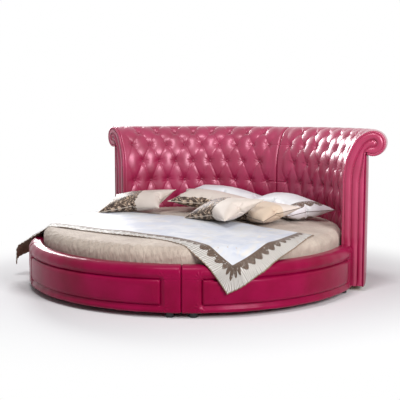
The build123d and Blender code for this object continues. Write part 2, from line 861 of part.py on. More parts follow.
def pillow_pieces():
    """The six pillows where they lie."""
    pieces = {}
    for name, (across, along, rest) in pillow_middle_shares.items():
        sizes = (sham_width, sham_depth, sham_thickness)
        if name in large_pillows:
            sizes = (large_pillow_width, large_pillow_depth, large_pillow_thickness)
        height = mattress_edge_top + mattress_crown + rest * sizes[2]
        place = Pos(across * mattress_radius, along * mattress_radius, height)
        tilt, roll, yaw = pillow_turns[name]
        pieces[name] = [place * Rot(0, 0, yaw) * Rot(tilt, roll, 0) * pillow(*sizes)]
    return pieces


def all_pieces():
    """Every piece of the bed under its name."""
    pieces = {}
    for name, centre in rail_sections.items():
        pieces.update(rail_pieces(name, centre))
    for name, centre in head_sections.items():
        pieces.update(head_pieces(name, centre))
    pieces.update(deck_pieces())
    pieces.update(fastener_pieces())
    pieces.update(mattress_pieces())
    pieces["throw"] = [throw()]
    pieces.update(pillow_pieces())
    return pieces


os.makedirs("parts", exist_ok=True)
for name, solids in all_pieces().items():
    export_step(solids[0] if len(solids) == 1 else Compound(children=solids), f"parts/{name}.step")
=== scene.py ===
import bmesh
import bpy
import math
import numpy as np
from mathutils import Matrix, Vector


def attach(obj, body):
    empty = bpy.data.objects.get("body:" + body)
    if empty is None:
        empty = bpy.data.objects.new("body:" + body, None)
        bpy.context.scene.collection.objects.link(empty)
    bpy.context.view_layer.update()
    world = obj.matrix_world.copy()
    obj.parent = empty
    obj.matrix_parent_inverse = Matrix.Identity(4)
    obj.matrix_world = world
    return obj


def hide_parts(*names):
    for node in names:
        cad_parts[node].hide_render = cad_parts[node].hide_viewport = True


# %% [markdown]
# # A round bed with a tufted scroll headboard
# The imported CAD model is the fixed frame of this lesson. It gives the real sizes, the bodies that
# move and the hidden woodwork. Everything padded, draped or sewn is made here and rides on it.

# %% Load the frame
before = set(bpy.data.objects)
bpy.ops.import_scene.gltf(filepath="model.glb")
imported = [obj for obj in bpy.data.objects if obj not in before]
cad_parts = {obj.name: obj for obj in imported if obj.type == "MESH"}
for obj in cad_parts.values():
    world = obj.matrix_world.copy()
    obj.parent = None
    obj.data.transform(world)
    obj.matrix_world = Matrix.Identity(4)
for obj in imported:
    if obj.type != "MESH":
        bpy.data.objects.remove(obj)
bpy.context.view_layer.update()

# %% [markdown]
# The photograph looks at the bed from the front right, a little above the mattress, with a long
# lens. A camera is easiest to repeat when its place and the direction that it looks in are given,
# and the turn is worked out from them.

# %% Camera
camera_place = Vector((3.448, -4.189, 1.135))
camera_heading = math.radians(128.945)
camera_pitch = math.radians(-6.225)
look = Vector((math.cos(camera_heading) * math.cos(camera_pitch),
               math.sin(camera_heading) * math.cos(camera_pitch), math.sin(camera_pitch)))
camera_data = bpy.data.cameras.new("camera")
camera_data.lens, camera_data.sensor_width = 72, 36
camera = bpy.data.objects.new("camera", camera_data)
bpy.context.scene.collection.objects.link(camera)
camera.location = camera_place
camera.rotation_euler = look.to_track_quat("-Z", "Y").to_euler()
bpy.context.scene.camera = camera
bpy.context.scene.view_settings.view_transform = "Standard"
print("camera looks along", [round(value, 3) for value in look])

# %% [markdown]
# Materials are built from shader nodes. A few helpers keep the cells short: one starts a finish from
# a Principled surface, one adds a node and joins its inputs, and the rest add the nodes that come
# back again and again: sums, noise, stretched values, blends and bumps. Colours are written as they
# look on a screen, from 0 to 255, and are turned into the linear values that the renderer wants.

# %% Helpers for finishes
def paint(red, green, blue):
    """Linear colour from screen values."""
    shares = [value / 255 for value in (red, green, blue)]
    return (*(s / 12.92 if s <= 0.04045 else ((s + 0.055) / 1.055) ** 2.4 for s in shares), 1)


def new_finish(name, **sockets):
    """Material with a Principled surface, its tree and the surface node."""
    material = bpy.data.materials.new(name)
    material.use_nodes = True
    surface = material.node_tree.nodes["Principled BSDF"]
    for socket, value in sockets.items():
        surface.inputs[socket.replace("_", " ")].default_value = value
    return material, material.node_tree, surface


def add(tree, kind, inputs=None, **settings):
    """New shader node with its settings, values and links."""
    node = tree.nodes.new("ShaderNode" + kind)
    for key, value in settings.items():
        setattr(node, key, value)
    for socket, value in (inputs or {}).items():
        if isinstance(value, bpy.types.NodeSocket):
            tree.links.new(value, node.inputs[socket])
        else:
            node.inputs[socket].default_value = value
    return node


def calc(tree, operation, first, second):
    """Result of a Math node."""
    return add(tree, "Math", {0: first, 1: second}, operation=operation).outputs[0]


def noise(tree, place, scale, detail, **sockets):
    """Value of a noise texture."""
    inputs = {"Vector": place, "Scale": scale, "Detail": detail, **sockets}
    return add(tree, "TexNoise", inputs).outputs["Fac"]


def spread(tree, value, low, high):
    """Value from 0 to 1 moved to lie from low to high."""
    return add(tree, "MapRange", {"Value": value, "To Min": low, "To Max": high}).outputs[0]


def blend_colours(tree, factor, first, second):
    """Colour between two colours or sockets."""
    return add(tree, "Mix", {0: factor, 6: first, 7: second}, data_type="RGBA").outputs[2]


def ramp(tree, value, low, high):
    """Value stretched so that low becomes 0 and high becomes 1."""
    return add(tree, "MapRange", {"Value": value, "From Min": low, "From Max": high}).outputs[0]


def bump(tree, height, distance, strength, normal=None):
    """Bump of a real height in metres."""
    node = add(tree, "Bump", {"Height": height, "Distance": distance, "Strength": strength})
    if normal:
        tree.links.new(normal, node.inputs["Normal"])
    return node.outputs["Normal"]


def object_point(tree):
    """Position on the piece in metres."""
    return add(tree, "TexCoord").outputs["Object"]


# %% [markdown]
# The bed is covered with glossy artificial leather. Three layers make it believable: a slow change
# of colour, shallow soft wrinkles about a hand wide, and a fine grain of pores. What it mirrors
# straight on takes the leather's own pink, and only slanting light keeps its white.

# %% Leather
gloss_tint = paint(255, 176, 206)


def leather_finish(name, deep, bright, gloss, veil):
    """Glossy artificial leather; veil is the weight of its wide, soft highlights."""
    material, tree, surface = new_finish(name, Specular_IOR_Level=gloss, Specular_Tint=gloss_tint,
                                         Coat_Weight=veil, Coat_Roughness=0.42)
    point = object_point(tree)
    broad = noise(tree, point, 5.0, 3.0)
    share = ramp(tree, broad, 0.3, 0.7)
    tree.links.new(blend_colours(tree, share, deep, bright), surface.inputs["Base Color"])
    soft = noise(tree, point, 16.0, 2.0)
    grain = add(tree, "TexVoronoi", {"Vector": point, "Scale": 480.0}, feature="F1")
    normal = bump(tree, soft, 0.005, 0.13)
    normal = bump(tree, grain.outputs["Distance"], 0.0003, 0.07, normal)
    tree.links.new(normal, surface.inputs["Normal"])
    fine = noise(tree, point, 40.0, 4.0)
    rough = spread(tree, fine, 0.25, 0.34)
    tree.links.new(rough, surface.inputs["Roughness"])
    return material


# The rails, panels and backs get a darker copy of the leather, which is painted shade, and the tufted
# headboard a lighter copy, which is painted light.
shaded_leather = leather_finish("pink_leather", paint(118, 0, 42), paint(140, 4, 60), 0.22, 0.0)
lit_tufted_leather = leather_finish("pink_tufted_leather_painted_light", paint(140, 8, 56), paint(162, 22, 76), 0.7, 1.0)
print("finishes", shaded_leather.name, lit_tufted_leather.name)

# %% [markdown]
# Nearly every padded piece of this bed is a stretch of a ring. The way to make one is to draw its
# section once, as a loop of vertices, and spin it about the bed's axis. Each vertex keeps two
# notes for later: which way is out of the surface, and how far along the section it lies.
# A spin in hundreds of steps is slow, so a few wide steps come first and are then divided evenly.

# %% Helpers for spun pieces
def mesh_of(bm, name):
    """Mesh with the shape of a bmesh, which is freed."""
    mesh = bpy.data.meshes.new(name)
    bm.to_mesh(mesh)
    bm.free()
    return mesh


def vertex_places(mesh):
    """Places of all vertices as rows."""
    place = np.zeros(len(mesh.vertices) * 3)
    mesh.vertices.foreach_get("co", place)
    return place.reshape(-1, 3)


def count_faces(piece):
    """Prints what a cell made."""
    print(piece.name, len(piece.data.polygons), "faces")


def spin_finely(bm, section, degrees, wide_steps, cuts, closed):
    """Spins a section, a list of (radius, height, out radius, out height, along), about the bed."""
    layers = [bm.verts.layers.float.new(key) for key in ("out_r", "out_z", "along")]
    reach, turn = (bm.verts.layers.float.new(key) for key in ("reach", "turn"))
    line = []
    for radius, height, *notes in section:
        vertex = bm.verts.new((radius, 0, height))
        for layer, note in zip(layers, notes):
            vertex[layer] = note
        vertex[reach] = radius
        line.append(vertex)
    pairs = zip(line, line[1:] + line[:1]) if closed else zip(line, line[1:])
    last = line + [bm.edges.new(pair) for pair in pairs]
    wide = math.radians(degrees) / wide_steps
    for step in range(wide_steps):
        made = bmesh.ops.spin(bm, geom=last, axis=(0, 0, 1), angle=wide, steps=1, use_merge=False)
        last = made["geom_last"]
        for item in last:
            if isinstance(item, bmesh.types.BMVert):
                item[turn] = (step + 1) * wide
    around = [edge for edge in bm.edges if abs(edge.verts[0][turn] - edge.verts[1][turn]) > wide / 2]
    bmesh.ops.subdivide_edges(bm, edges=around, cuts=cuts, use_grid_fill=True)
    for vertex in bm.verts:
        vertex.co.x = vertex[reach] * math.cos(vertex[turn])
        vertex.co.y = vertex[reach] * math.sin(vertex[turn])


def spun_mesh(name, section, degrees, wide_steps, cuts):
    """Mesh of a closed section spun over some degrees, with its ends closed."""
    bm = bmesh.new()
    spin_finely(bm, section, degrees, wide_steps, cuts, True)
    rim = [edge for edge in bm.edges if edge.is_boundary]
    bmesh.ops.holes_fill(bm, edges=rim, sides=0)
    bmesh.ops.recalc_face_normals(bm, faces=bm.faces)
    return mesh_of(bm, name)


def read_notes(mesh):
    """Radius, angle in radians from the section's plane, height and the notes of all vertices."""
    place = vertex_places(mesh)
    notes = {}
    for key in ("out_r", "out_z", "along"):
        notes[key] = np.zeros(len(mesh.vertices), np.float32)
        mesh.attributes[key].data.foreach_get("value", notes[key])
    radius = np.hypot(place[:, 0], place[:, 1])
    angle = np.arctan2(place[:, 1], place[:, 0])
    angle = np.where(angle < -0.01, angle + 2 * math.pi, angle)
    return radius, angle, place[:, 2], notes


def place_vertices(mesh, radius, angle, height):
    """Moves all vertices to polar places."""
    place = np.stack([radius * np.cos(angle), radius * np.sin(angle), height], 1)
    mesh.vertices.foreach_set("co", place.ravel())
    mesh.update()


def finished(mesh, material, body, replaced=()):
    """Object of a finished mesh that rides on a body and stands for CAD nodes."""
    piece = bpy.data.objects.new(mesh.name, mesh)
    bpy.context.scene.collection.objects.link(piece)
    mesh.materials.append(material)
    mesh.polygons.foreach_set("use_smooth", [True] * len(mesh.polygons))
    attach(piece, body)
    if replaced:
        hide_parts(*replaced)
    return piece


def arc_points(centre, radius, first, last, spacing):
    """Points of an arc in the section's plane, with their outward directions."""
    count = max(2, round(abs(math.radians(last - first)) * radius / spacing))
    points = []
    for k in range(count + 1):
        turn = math.radians(first + (last - first) * k / count)
        out = (-math.cos(turn), math.sin(turn))
        points.append((centre[0] + radius * out[0], centre[1] + radius * out[1], *out))
    return points


def line_points(first, last, out, spacing):
    """Points of a straight run, with one outward direction."""
    count = max(1, round(math.dist(first, last) / spacing))
    steps = [k / count for k in range(count + 1)]
    return [(first[0] + (last[0] - first[0]) * t, first[1] + (last[1] - first[1]) * t, *out) for t in steps]


def measured(points):
    """Points without doubles, with the distance along them added."""
    kept = [points[0]]
    for point in points[1:]:
        if math.dist(point[:2], kept[-1][:2]) > 1e-5:
            kept.append(point)
    along = [0.0]
    for a, b in zip(kept, kept[1:]):
        along.append(along[-1] + math.dist(a[:2], b[:2]))
    return [(*point, s) for point, s in zip(kept, along)]


def smooth_step(low, high, value):
    """0 below low, 1 above high, smooth between."""
    t = np.clip((value - low) / (high - low), 0, 1)
    return t * t * (3 - 2 * t)


def rounding(distance, radius):
    """Drop of a rounded edge at a distance from it."""
    t = np.clip(1 - distance / radius, 0, 1)
    return radius * (1 - np.sqrt(np.maximum(0, 1 - t * t)))


# %% [markdown]
# A rail is a fat padded ring section: a roll on top, a flat face below it and a long pocket in
# which a padded panel sits. The section is spun, then the pocket, the pillowed rims and the
# rounded seam edges are pressed in by moving the vertices along their outward notes.

# %% Sizes of the ring
rail_inner, rail_outer = 1.003, 1.100
rail_low, rail_top = 0.030, 0.296
roll_radius, lip_radius, bottom_radius = 0.046, 0.024, 0.014
lip_bottom, board_inner = 0.236, 1.0083
panel_low, panel_high, panel_margin, panel_groove = 0.075, 0.218, 0.104, 0.013
seam_gap = 0.0006
section_angle = 72.0
pocket_clear, pocket_corner, pocket_sunk, pocket_rim, pocket_lean = 0.005, 0.014, 0.015, 0.024, 0.6
seam_rounding, stitch_above, stitch_reach, stitch_sunk = 0.011, 0.002, 0.0026, 0.0022
rail_centres = {"foot": -90.0, "right": -18.0, "left": 198.0}
print("rail", round(rail_outer - rail_inner, 3), "wide and", rail_top, "high")


# %% Rail covers
def rail_section():
    """Closed section of a rail cover."""
    fine, coarse = 0.0036, 0.02
    lip = (rail_inner + lip_radius, rail_top - lip_radius)
    roll = (rail_outer - roll_radius, rail_top - roll_radius)
    foot = (rail_outer - bottom_radius, rail_low + bottom_radius)
    points = line_points((rail_inner, lip_bottom), (rail_inner, lip[1]), (-1, 0), fine * 2)
    points += arc_points(lip, lip_radius, 0, 90, fine)
    points += line_points((lip[0], rail_top), (roll[0], rail_top), (0, 1), fine)
    points += arc_points(roll, roll_radius, 90, 180, fine)
    points += line_points((rail_outer, roll[1]), (rail_outer, foot[1]), (1, 0), fine)
    points += arc_points(foot, bottom_radius, 180, 270, fine)
    points += line_points((foot[0], rail_low), (board_inner, rail_low), (0, -1), coarse)
    points += line_points((board_inner, rail_low), (board_inner, lip_bottom), (-1, 0), coarse)
    return measured(points)[:-1]


def pocket_depth(across, height):
    """Depth of the pocket of a rail; across is the distance from the nearer seam."""
    edge_across = panel_margin + panel_groove - pocket_clear
    low, high = panel_low - pocket_clear, panel_high + pocket_clear
    corner = pocket_corner
    dx = edge_across + corner - across
    dz = np.maximum(low + corner - height, height - (high - corner))
    outside = np.hypot(np.maximum(dx, 0), np.maximum(dz, 0)) + np.minimum(np.maximum(dx, dz), 0) - corner
    lean = pocket_lean * pocket_sunk * (1 - smooth_step(0, pocket_rim, outside))
    return np.where(outside > 0, lean, pocket_sunk)


def rail_cover(name, centre):
    """Padded cover of one rail."""
    mesh = spun_mesh(name + "_rail_leather", rail_section(), section_angle, 10, 28)
    radius, angle, height, notes = read_notes(mesh)
    share = angle / math.radians(section_angle)
    share = np.interp(share, (0, 0.17, 0.83, 1), (0, 0.105, 0.895, 1))
    clear = np.arcsin(seam_gap / 2 / radius)
    angle = clear + share * (math.radians(section_angle) - 2 * clear)
    across = np.minimum(share, 1 - share) * math.radians(section_angle) * rail_outer
    face = (notes["out_r"] > 0.3) & (height > rail_low + 0.001)
    out = np.zeros(len(radius))
    out -= np.where(face, pocket_depth(across, height) * notes["out_r"], 0)
    seam = rounding(across, seam_rounding)
    out -= np.where(radius > board_inner + 0.001, seam, 0)
    stitch = np.exp(-((height - panel_high - stitch_above) / stitch_reach) ** 2)
    stitch = stitch * (across < panel_margin + 0.008)
    out -= np.where(face, stitch_sunk * stitch, 0)
    sway = np.sin(angle * 23 + centre) * 0.0006 + np.sin(angle * 61 + 2 * centre) * 0.0004
    out += np.where(radius > board_inner + 0.02, sway, 0)
    for corner_z, lift in ((panel_low - panel_groove, -1), (panel_high + panel_groove, 1)):
        dx, dz = across - panel_margin, height - corner_z
        reach = np.hypot(dx, dz)
        fan = np.cos(9 * np.arctan2(dz, dx) + lift)
        out += np.where(face, 0.0016 * fan * np.exp(-((reach - 0.02) / 0.013) ** 2), 0)
    radius = radius + out * notes["out_r"]
    height = height + out * notes["out_z"]
    angle = angle + math.radians(centre - section_angle / 2)
    place_vertices(mesh, radius, angle, height)
    piece = finished(mesh, shaded_leather, "bed_frame", [name + "_rail_cover"])
    return piece


for name, centre in rail_centres.items():
    count_faces(rail_cover(name, centre))

# %% [markdown]
# The panel in the pocket is a separate padded board. Its section is a rounded bar, crowned on the
# outside, and its ends are drawn down in a quarter round so that it looks stuffed.

# %% Rail panels
panel_depth, panel_crown, panel_edge = 0.0137, 0.0065, 0.012
panel_end_rounding, panel_side_rounding = 0.016, 0.026


def rail_panel(name, centre):
    """Padded panel of one rail."""
    inner, edge = rail_outer - panel_depth, panel_edge
    middle = rail_outer - edge
    fine = 0.0036
    points = line_points((inner, panel_low), (middle, panel_low), (0, -1), fine)
    points += arc_points((middle, panel_low + edge), edge, 270, 180, fine / 2)
    points += line_points((rail_outer, panel_low + edge), (rail_outer, panel_high - edge), (1, 0), fine)
    points += arc_points((middle, panel_high - edge), edge, 180, 90, fine / 2)
    points += line_points((middle, panel_high), (inner, panel_high), (0, 1), fine)
    points += line_points((inner, panel_high), (inner, panel_low), (-1, 0), 0.01)
    margin = math.degrees((panel_margin + panel_groove) / rail_outer)
    span = section_angle - 2 * margin
    mesh = spun_mesh(name + "_rail_padded_panel", measured(points)[:-1], span, 10, 24)
    radius, angle, height, notes = read_notes(mesh)
    share = np.interp(angle / math.radians(span), (0, 0.1, 0.9, 1), (0, 0.03, 0.97, 1))
    across = np.minimum(share, 1 - share) * math.radians(span) * rail_outer
    tall = (height - panel_low) / (panel_high - panel_low)
    crown = panel_crown * (4 * tall * (1 - tall)) ** 0.6 * smooth_step(0, 0.05, across)
    from_edge = np.minimum(height - panel_low, panel_high - height)
    drop = rounding(across, panel_end_rounding)
    drop += 0.35 * rounding(np.maximum(from_edge, 0), panel_side_rounding)
    shift = np.where(notes["out_r"] > 0.05, crown - drop, 0)
    radius = np.maximum(radius + shift * np.maximum(notes["out_r"], 0), inner)
    squeeze = rounding(across, 0.010) * 0.6
    height = height - np.sign(tall - 0.5) * squeeze
    place_vertices(mesh, radius, share * math.radians(span) + math.radians(centre - span / 2), height)
    piece = finished(mesh, shaded_leather, "bed_frame", [name + "_rail_panel"])
    return piece


for name, centre in rail_centres.items():
    count_faces(rail_panel(name, centre))

# %% [markdown]
# The headboard's line rises straight behind the mattress, flares back in three arcs and ends in a
# scroll. Every point of it is known from its turn, the angle by which it has left the upright.

# %% Line of the headboard
front_radius, head_thickness = 1.018, 0.147
pad_thickness, pad_low = 0.040, 0.216
flare_start, flare_radius, flare_turn = 0.700, 0.489, 30.6
neck_radius, neck_turn, scroll_radius = 0.157, 77.7, 0.080
back_radius = front_radius + head_thickness


def centre_after(centre, large, small, turn):
    """Centre of the next, tighter arc of a rolling line."""
    step, turn = large - small, math.radians(turn)
    return (centre[0] - step * math.cos(turn), centre[1] + step * math.sin(turn))


flare_centre = (front_radius + flare_radius, flare_start)
neck_centre = centre_after(flare_centre, flare_radius, neck_radius, flare_turn)
scroll_centre = centre_after(neck_centre, neck_radius, scroll_radius, neck_turn)
scroll_end = 360 - math.degrees(math.acos((scroll_centre[0] - back_radius) / scroll_radius))
head_height = scroll_centre[1] + scroll_radius


def head_line(inset, low, end, spacing):
    """Front and scroll of the headboard, set in by a distance, up to a turn of the scroll."""
    front = front_radius + inset
    points = line_points((front, low), (front, flare_start), (-1, 0), spacing)
    points += arc_points(flare_centre, flare_radius - inset, 0, flare_turn, spacing)
    points += arc_points(neck_centre, neck_radius - inset, flare_turn, neck_turn, spacing)
    points += arc_points(scroll_centre, scroll_radius - inset, neck_turn, end, spacing)
    return points


print("headboard", round(head_height, 3), "high, scroll ends at", round(scroll_end), "degrees")

# %% [markdown]
# Deep buttoning is a lattice. Count half steps sideways and rows upwards, and the sewn folds are
# the two families of diagonals through the buttons. Between the folds the cover swells like a
# small cushion, at each button it is pulled in with short puckers all round. The pattern is
# written as a height over the surface and pressed into the spun pad.

# %% Button lattice
row_heights = [share * head_height for share in (0.440, 0.586, 0.734, 0.866, 0.961)]
tuft_pitch, first_tuft, tufts_in_row = 7.6, 5.2, 9
cell_base, cell_rise, fold_depth, fold_reach = 0.0032, 0.0034, 0.0040, 0.09
button_depth, button_reach = 0.0215, 0.029
head_sides = {"right": (18.0, -1), "left": (90.0, 1)}


def along_front(height):
    """Distance along the headboard's line at a height of its front."""
    if height <= flare_start:
        return height - pad_low
    turn = math.asin((height - flare_start) / flare_radius)
    run = flare_start - pad_low
    if math.degrees(turn) <= flare_turn:
        return run + flare_radius * turn
    run += flare_radius * math.radians(flare_turn)
    turn = math.asin((height - neck_centre[1]) / neck_radius)
    return run + neck_radius * (turn - math.radians(flare_turn))


row_places = [along_front(height) for height in row_heights]


def button_places():
    """Degrees from the middle seam and distance along the line of each button of one half."""
    places = []
    for row, along in enumerate(row_places):
        odd = row % 2 == 0
        start = first_tuft + (tuft_pitch / 2 if odd else 0)
        places += [(start + tuft_pitch * k, along) for k in range(tufts_in_row - 1 if odd else tufts_in_row)]
    return places


print(len(button_places()), "buttons a half")


def row_number(along):
    """Row count at a distance along the line, with its fraction."""
    low_step = row_places[1] - row_places[0]
    high_step = row_places[-1] - row_places[-2]
    marks = [row_places[0] - 2 * low_step, *row_places, row_places[-1] + 3 * high_step]
    return np.interp(along, marks, [-2, 0, 1, 2, 3, 4, 7])


def swell(share):
    """Fullness across a cell, 0 on its folds and 1 in its middle, and the sharp crease on a fold."""
    near = np.abs(share - np.round(share)) * 2
    return 1 - (1 - near) ** 2, np.exp(-near / fold_reach)


def tuft_height(degrees_out, along, reach):
    """Height of the tufted surface; degrees_out counts from the middle seam."""
    across = (degrees_out - first_tuft) / (tuft_pitch / 2) + 1
    row = row_number(along)
    (full, crease), (other_full, other_crease) = swell((across + row) / 2), swell((across - row) / 2)
    last = 2 * (tufts_in_row - 1) + 1
    inside = smooth_step(0.15, 1.0, across) * smooth_step(last + 1.1, last, across)
    inside *= smooth_step(-1.3, -0.3, row) * smooth_step(5.3, 4.4, row)
    height = cell_base + cell_rise * full * other_full - fold_depth * np.maximum(crease, other_crease)
    height *= inside
    draw = random_draws.uniform(0, 2 * math.pi, (len(button_places()), 2))
    for (place, run), (phase, twist) in zip(button_places(), draw):
        dx = np.radians(degrees_out - place) * (front_radius + reach)
        dy = along - run
        far = np.hypot(dx, dy)
        near = far < 0.12
        if not near.any():
            continue
        fan = np.arctan2(dy[near], dx[near])
        d = far[near]
        height[near] -= button_depth * np.exp(-(d / button_reach) ** 1.35)
        ridge = np.cos(11 * fan + phase) + 0.6 * np.cos(7 * fan + twist)
        height[near] += 0.0012 * ridge * np.exp(-((d - 0.026) / 0.015) ** 2)
    return height


# %% Tufted pads
random_draws = np.random.default_rng(7)
facing_clear = 0.0156


def tufted_pad(name, start, side):
    """Tufted pad of one half, from behind the mattress over the scroll."""
    front = measured(head_line(0, pad_low, scroll_end, 0.0046))
    back = [(r, z, 0, 0, -1) for r, z, _, _ in reversed(head_line(pad_thickness, pad_low, scroll_end, 0.02))]
    mesh = spun_mesh("headboard_" + name + "_tufting", front + back, section_angle, 15, 18)
    radius, angle, height, notes = read_notes(mesh)
    share = angle / math.radians(section_angle)
    near = facing_clear if side < 0 else seam_gap / 2
    far = seam_gap / 2 if side < 0 else facing_clear
    first, last = np.arcsin(near / radius), np.arcsin(far / radius)
    angle = first + share * (math.radians(section_angle) - first - last)
    share = angle / math.radians(section_angle)
    to_seam = 1 - share if side < 0 else share
    degrees_out = to_seam * section_angle
    along = notes["along"]
    is_front = along >= 0
    reach = np.maximum(radius - front_radius, 0)
    out = tuft_height(degrees_out, along, reach)
    to_end = (section_angle - degrees_out) * math.pi / 180 * radius - facing_clear
    seam_distance = np.radians(degrees_out) * radius
    out -= rounding(seam_distance, 0.020)
    out -= rounding(np.maximum(to_end, 0), 0.014)
    for row in (1, 3):
        crease = np.exp(-((along - row_places[row]) / 0.0035) ** 2)
        out -= 0.0045 * crease * smooth_step(first_tuft + 0.3, first_tuft - 0.7, degrees_out)
        edge = first_tuft + tuft_pitch * (tufts_in_row - 1)
        rising = smooth_step(edge - 0.3, edge + 0.5, degrees_out)
        out -= 0.003 * crease * rising * smooth_step(edge + 4, edge + 1, degrees_out)
    gather = np.sin(along * 2 * math.pi / 0.017) * np.exp(-to_end / 0.022)
    out += 0.0014 * gather * smooth_step(row_places[3], row_places[4], along)
    out = np.where(is_front, out, 0)
    radius = radius + out * notes["out_r"]
    height = height + out * notes["out_z"]
    place_vertices(mesh, radius, angle + math.radians(start), height)
    piece = finished(mesh, lit_tufted_leather, "bed_frame", ["headboard_" + name + "_pad"])
    return piece


for name, (start, side) in head_sides.items():
    count_faces(tufted_pad(name, start, side))


# %% [markdown]
# The roll's cut end is closed by a flat board with two puffed channels, an outer band that follows
# the outline and a tongue inside it. Distances to the outline and to the tongue's edge give the
# height of the padding: zero on the stitched lines, full between them. The board is a grid whose
# rim is pulled onto the outline.

# %% Channelled end facings
head_ends = {"right": (18.0, -1), "left": (162.0, 1)}
facing_inset, facing_spacing = 0.010, 0.0034
facing_front, facing_back, band_rise, core_rise = 0.0150, 0.0153, 0.014, 0.012
tongue_front, tongue_width, tongue_under = 0.058, 0.045, 0.055
rail_cleared = 0.300


def polyline_distance(points, line):
    """Distance from each point to a polyline and the nearest places on it."""
    best = np.full(len(points), 1e9)
    nearest = np.zeros_like(points)
    for a, b in zip(line, line[1:]):
        run = b - a
        share = np.clip(((points - a) @ run) / max(run @ run, 1e-12), 0, 1)
        place = a + share[:, None] * run
        far = np.hypot(*(points - place).T)
        closer = far < best
        best[closer], nearest[closer] = far[closer], place[closer]
    return best, nearest


def inside_line(points, line):
    """True for each point inside a closed polyline."""
    inside = np.zeros(len(points), bool)
    x, y = points.T
    for (ax, ay), (bx, by) in zip(line, np.roll(line, -1, 0)):
        if ay != by:
            crossing = (ay > y) != (by > y)
            inside ^= crossing & (x < ax + (y - ay) * (bx - ax) / (by - ay))
    return inside


def facing_outline():
    """Closed outline of the end facing."""
    back = back_radius - 0.004
    reach = scroll_radius - facing_inset
    end = 360 - math.degrees(math.acos((scroll_centre[0] - back) / reach))
    line = [point[:2] for point in head_line(facing_inset, rail_low, end, 0.006)]
    return np.array(line + [(back, rail_low)])


def tongue_line():
    """Closed edge of the inner channel, open below the facing."""
    line = [point[:2] for point in head_line(tongue_front, 0.0, 270, 0.005)]
    under = (scroll_centre[0], scroll_centre[1] - scroll_radius + tongue_front - tongue_under)
    back = front_radius + tongue_front + tongue_width
    line += [point[:2] for point in arc_points(under, tongue_under, 90, 0, 0.005)]
    return np.array(line + [(back, flare_start), (back, 0.0)])


def channel_height(points):
    """Height of the padding of the facing over its lowest level."""
    edge, _ = polyline_distance(points, np.vstack([outline, outline[:1]]))
    inner, _ = polyline_distance(points, tongue)
    in_tongue = inside_line(points, tongue)
    share = edge / np.maximum(edge + inner, 1e-6)
    band = (1 - np.abs(2 * share - 1) ** 2.6) ** 0.62
    core = np.sqrt(np.maximum(0, 1 - (1 - np.clip(inner / (tongue_width / 2), 0, 1)) ** 2))
    return np.where(in_tongue, core_rise * core, band_rise * band)


def turned_mesh(bm, degrees, name):
    """Mesh of a piece that was made in the section's plane, turned to its place round the bed."""
    bmesh.ops.recalc_face_normals(bm, faces=bm.faces)
    bmesh.ops.rotate(bm, verts=bm.verts, matrix=Matrix.Rotation(math.radians(degrees), 3, "Z"))
    return mesh_of(bm, name)


outline, tongue = facing_outline(), tongue_line()


def end_facing(name, seam, side):
    """Padded facing on the outer end of one half."""
    low, high = outline.min(0) - facing_spacing, outline.max(0) + facing_spacing
    size = high - low
    bm = bmesh.new()
    counts = np.ceil(size / facing_spacing).astype(int)
    bmesh.ops.create_grid(bm, x_segments=int(counts[0]), y_segments=int(counts[1]), size=0.5)
    places = np.array([vertex.co[:2] for vertex in bm.verts])
    places = low + (places + 0.5) * size
    inside = inside_line(places, outline)
    far, nearest = polyline_distance(places, np.vstack([outline, outline[:1]]))
    places[~inside] = nearest[~inside]
    for vertex, place in zip(bm.verts, places):
        vertex.co = (place[0], 0, place[1])
    outer = far > facing_spacing * 1.5
    gone = [vertex for vertex, out, within in zip(bm.verts, outer, inside) if out and not within]
    bmesh.ops.delete(bm, geom=gone, context="VERTS")
    bmesh.ops.remove_doubles(bm, verts=bm.verts, dist=0.0004)
    bmesh.ops.dissolve_degenerate(bm, edges=bm.edges, dist=0.0002)
    front = list(bm.verts)
    made = bmesh.ops.extrude_face_region(bm, geom=list(bm.faces))
    behind = [item for item in made["geom"] if isinstance(item, bmesh.types.BMVert)]
    places = np.array([(vertex.co.x, vertex.co.z) for vertex in front])
    rise = channel_height(places)
    proud = 0.004 * smooth_step(rail_cleared, rail_cleared + 0.05, places[:, 1])
    for vertex, height, extra in zip(front, rise, proud):
        vertex.co.y = facing_front - height - extra * height / band_rise
    for vertex in behind:
        vertex.co.y = facing_back
    if side > 0:
        bmesh.ops.mirror(bm, geom=bm.verts[:] + bm.edges[:] + bm.faces[:], axis="Y", merge_dist=0)
        half = [vertex for vertex in bm.verts if vertex.co.y > 0]
        bmesh.ops.delete(bm, geom=half, context="VERTS")
    mesh = turned_mesh(bm, seam, "headboard_" + name + "_channelled_facing")
    piece = finished(mesh, lit_tufted_leather, "bed_frame", ["headboard_" + name + "_end_facing"])
    return piece


for name, (seam, side) in head_ends.items():
    count_faces(end_facing(name, seam, side))

# %% [markdown]
# Where the tufted cover meets the facing it is gathered over a soft cord. That edge is a tube
# along the headboard's line, with close pleats where the line turns over the roll.

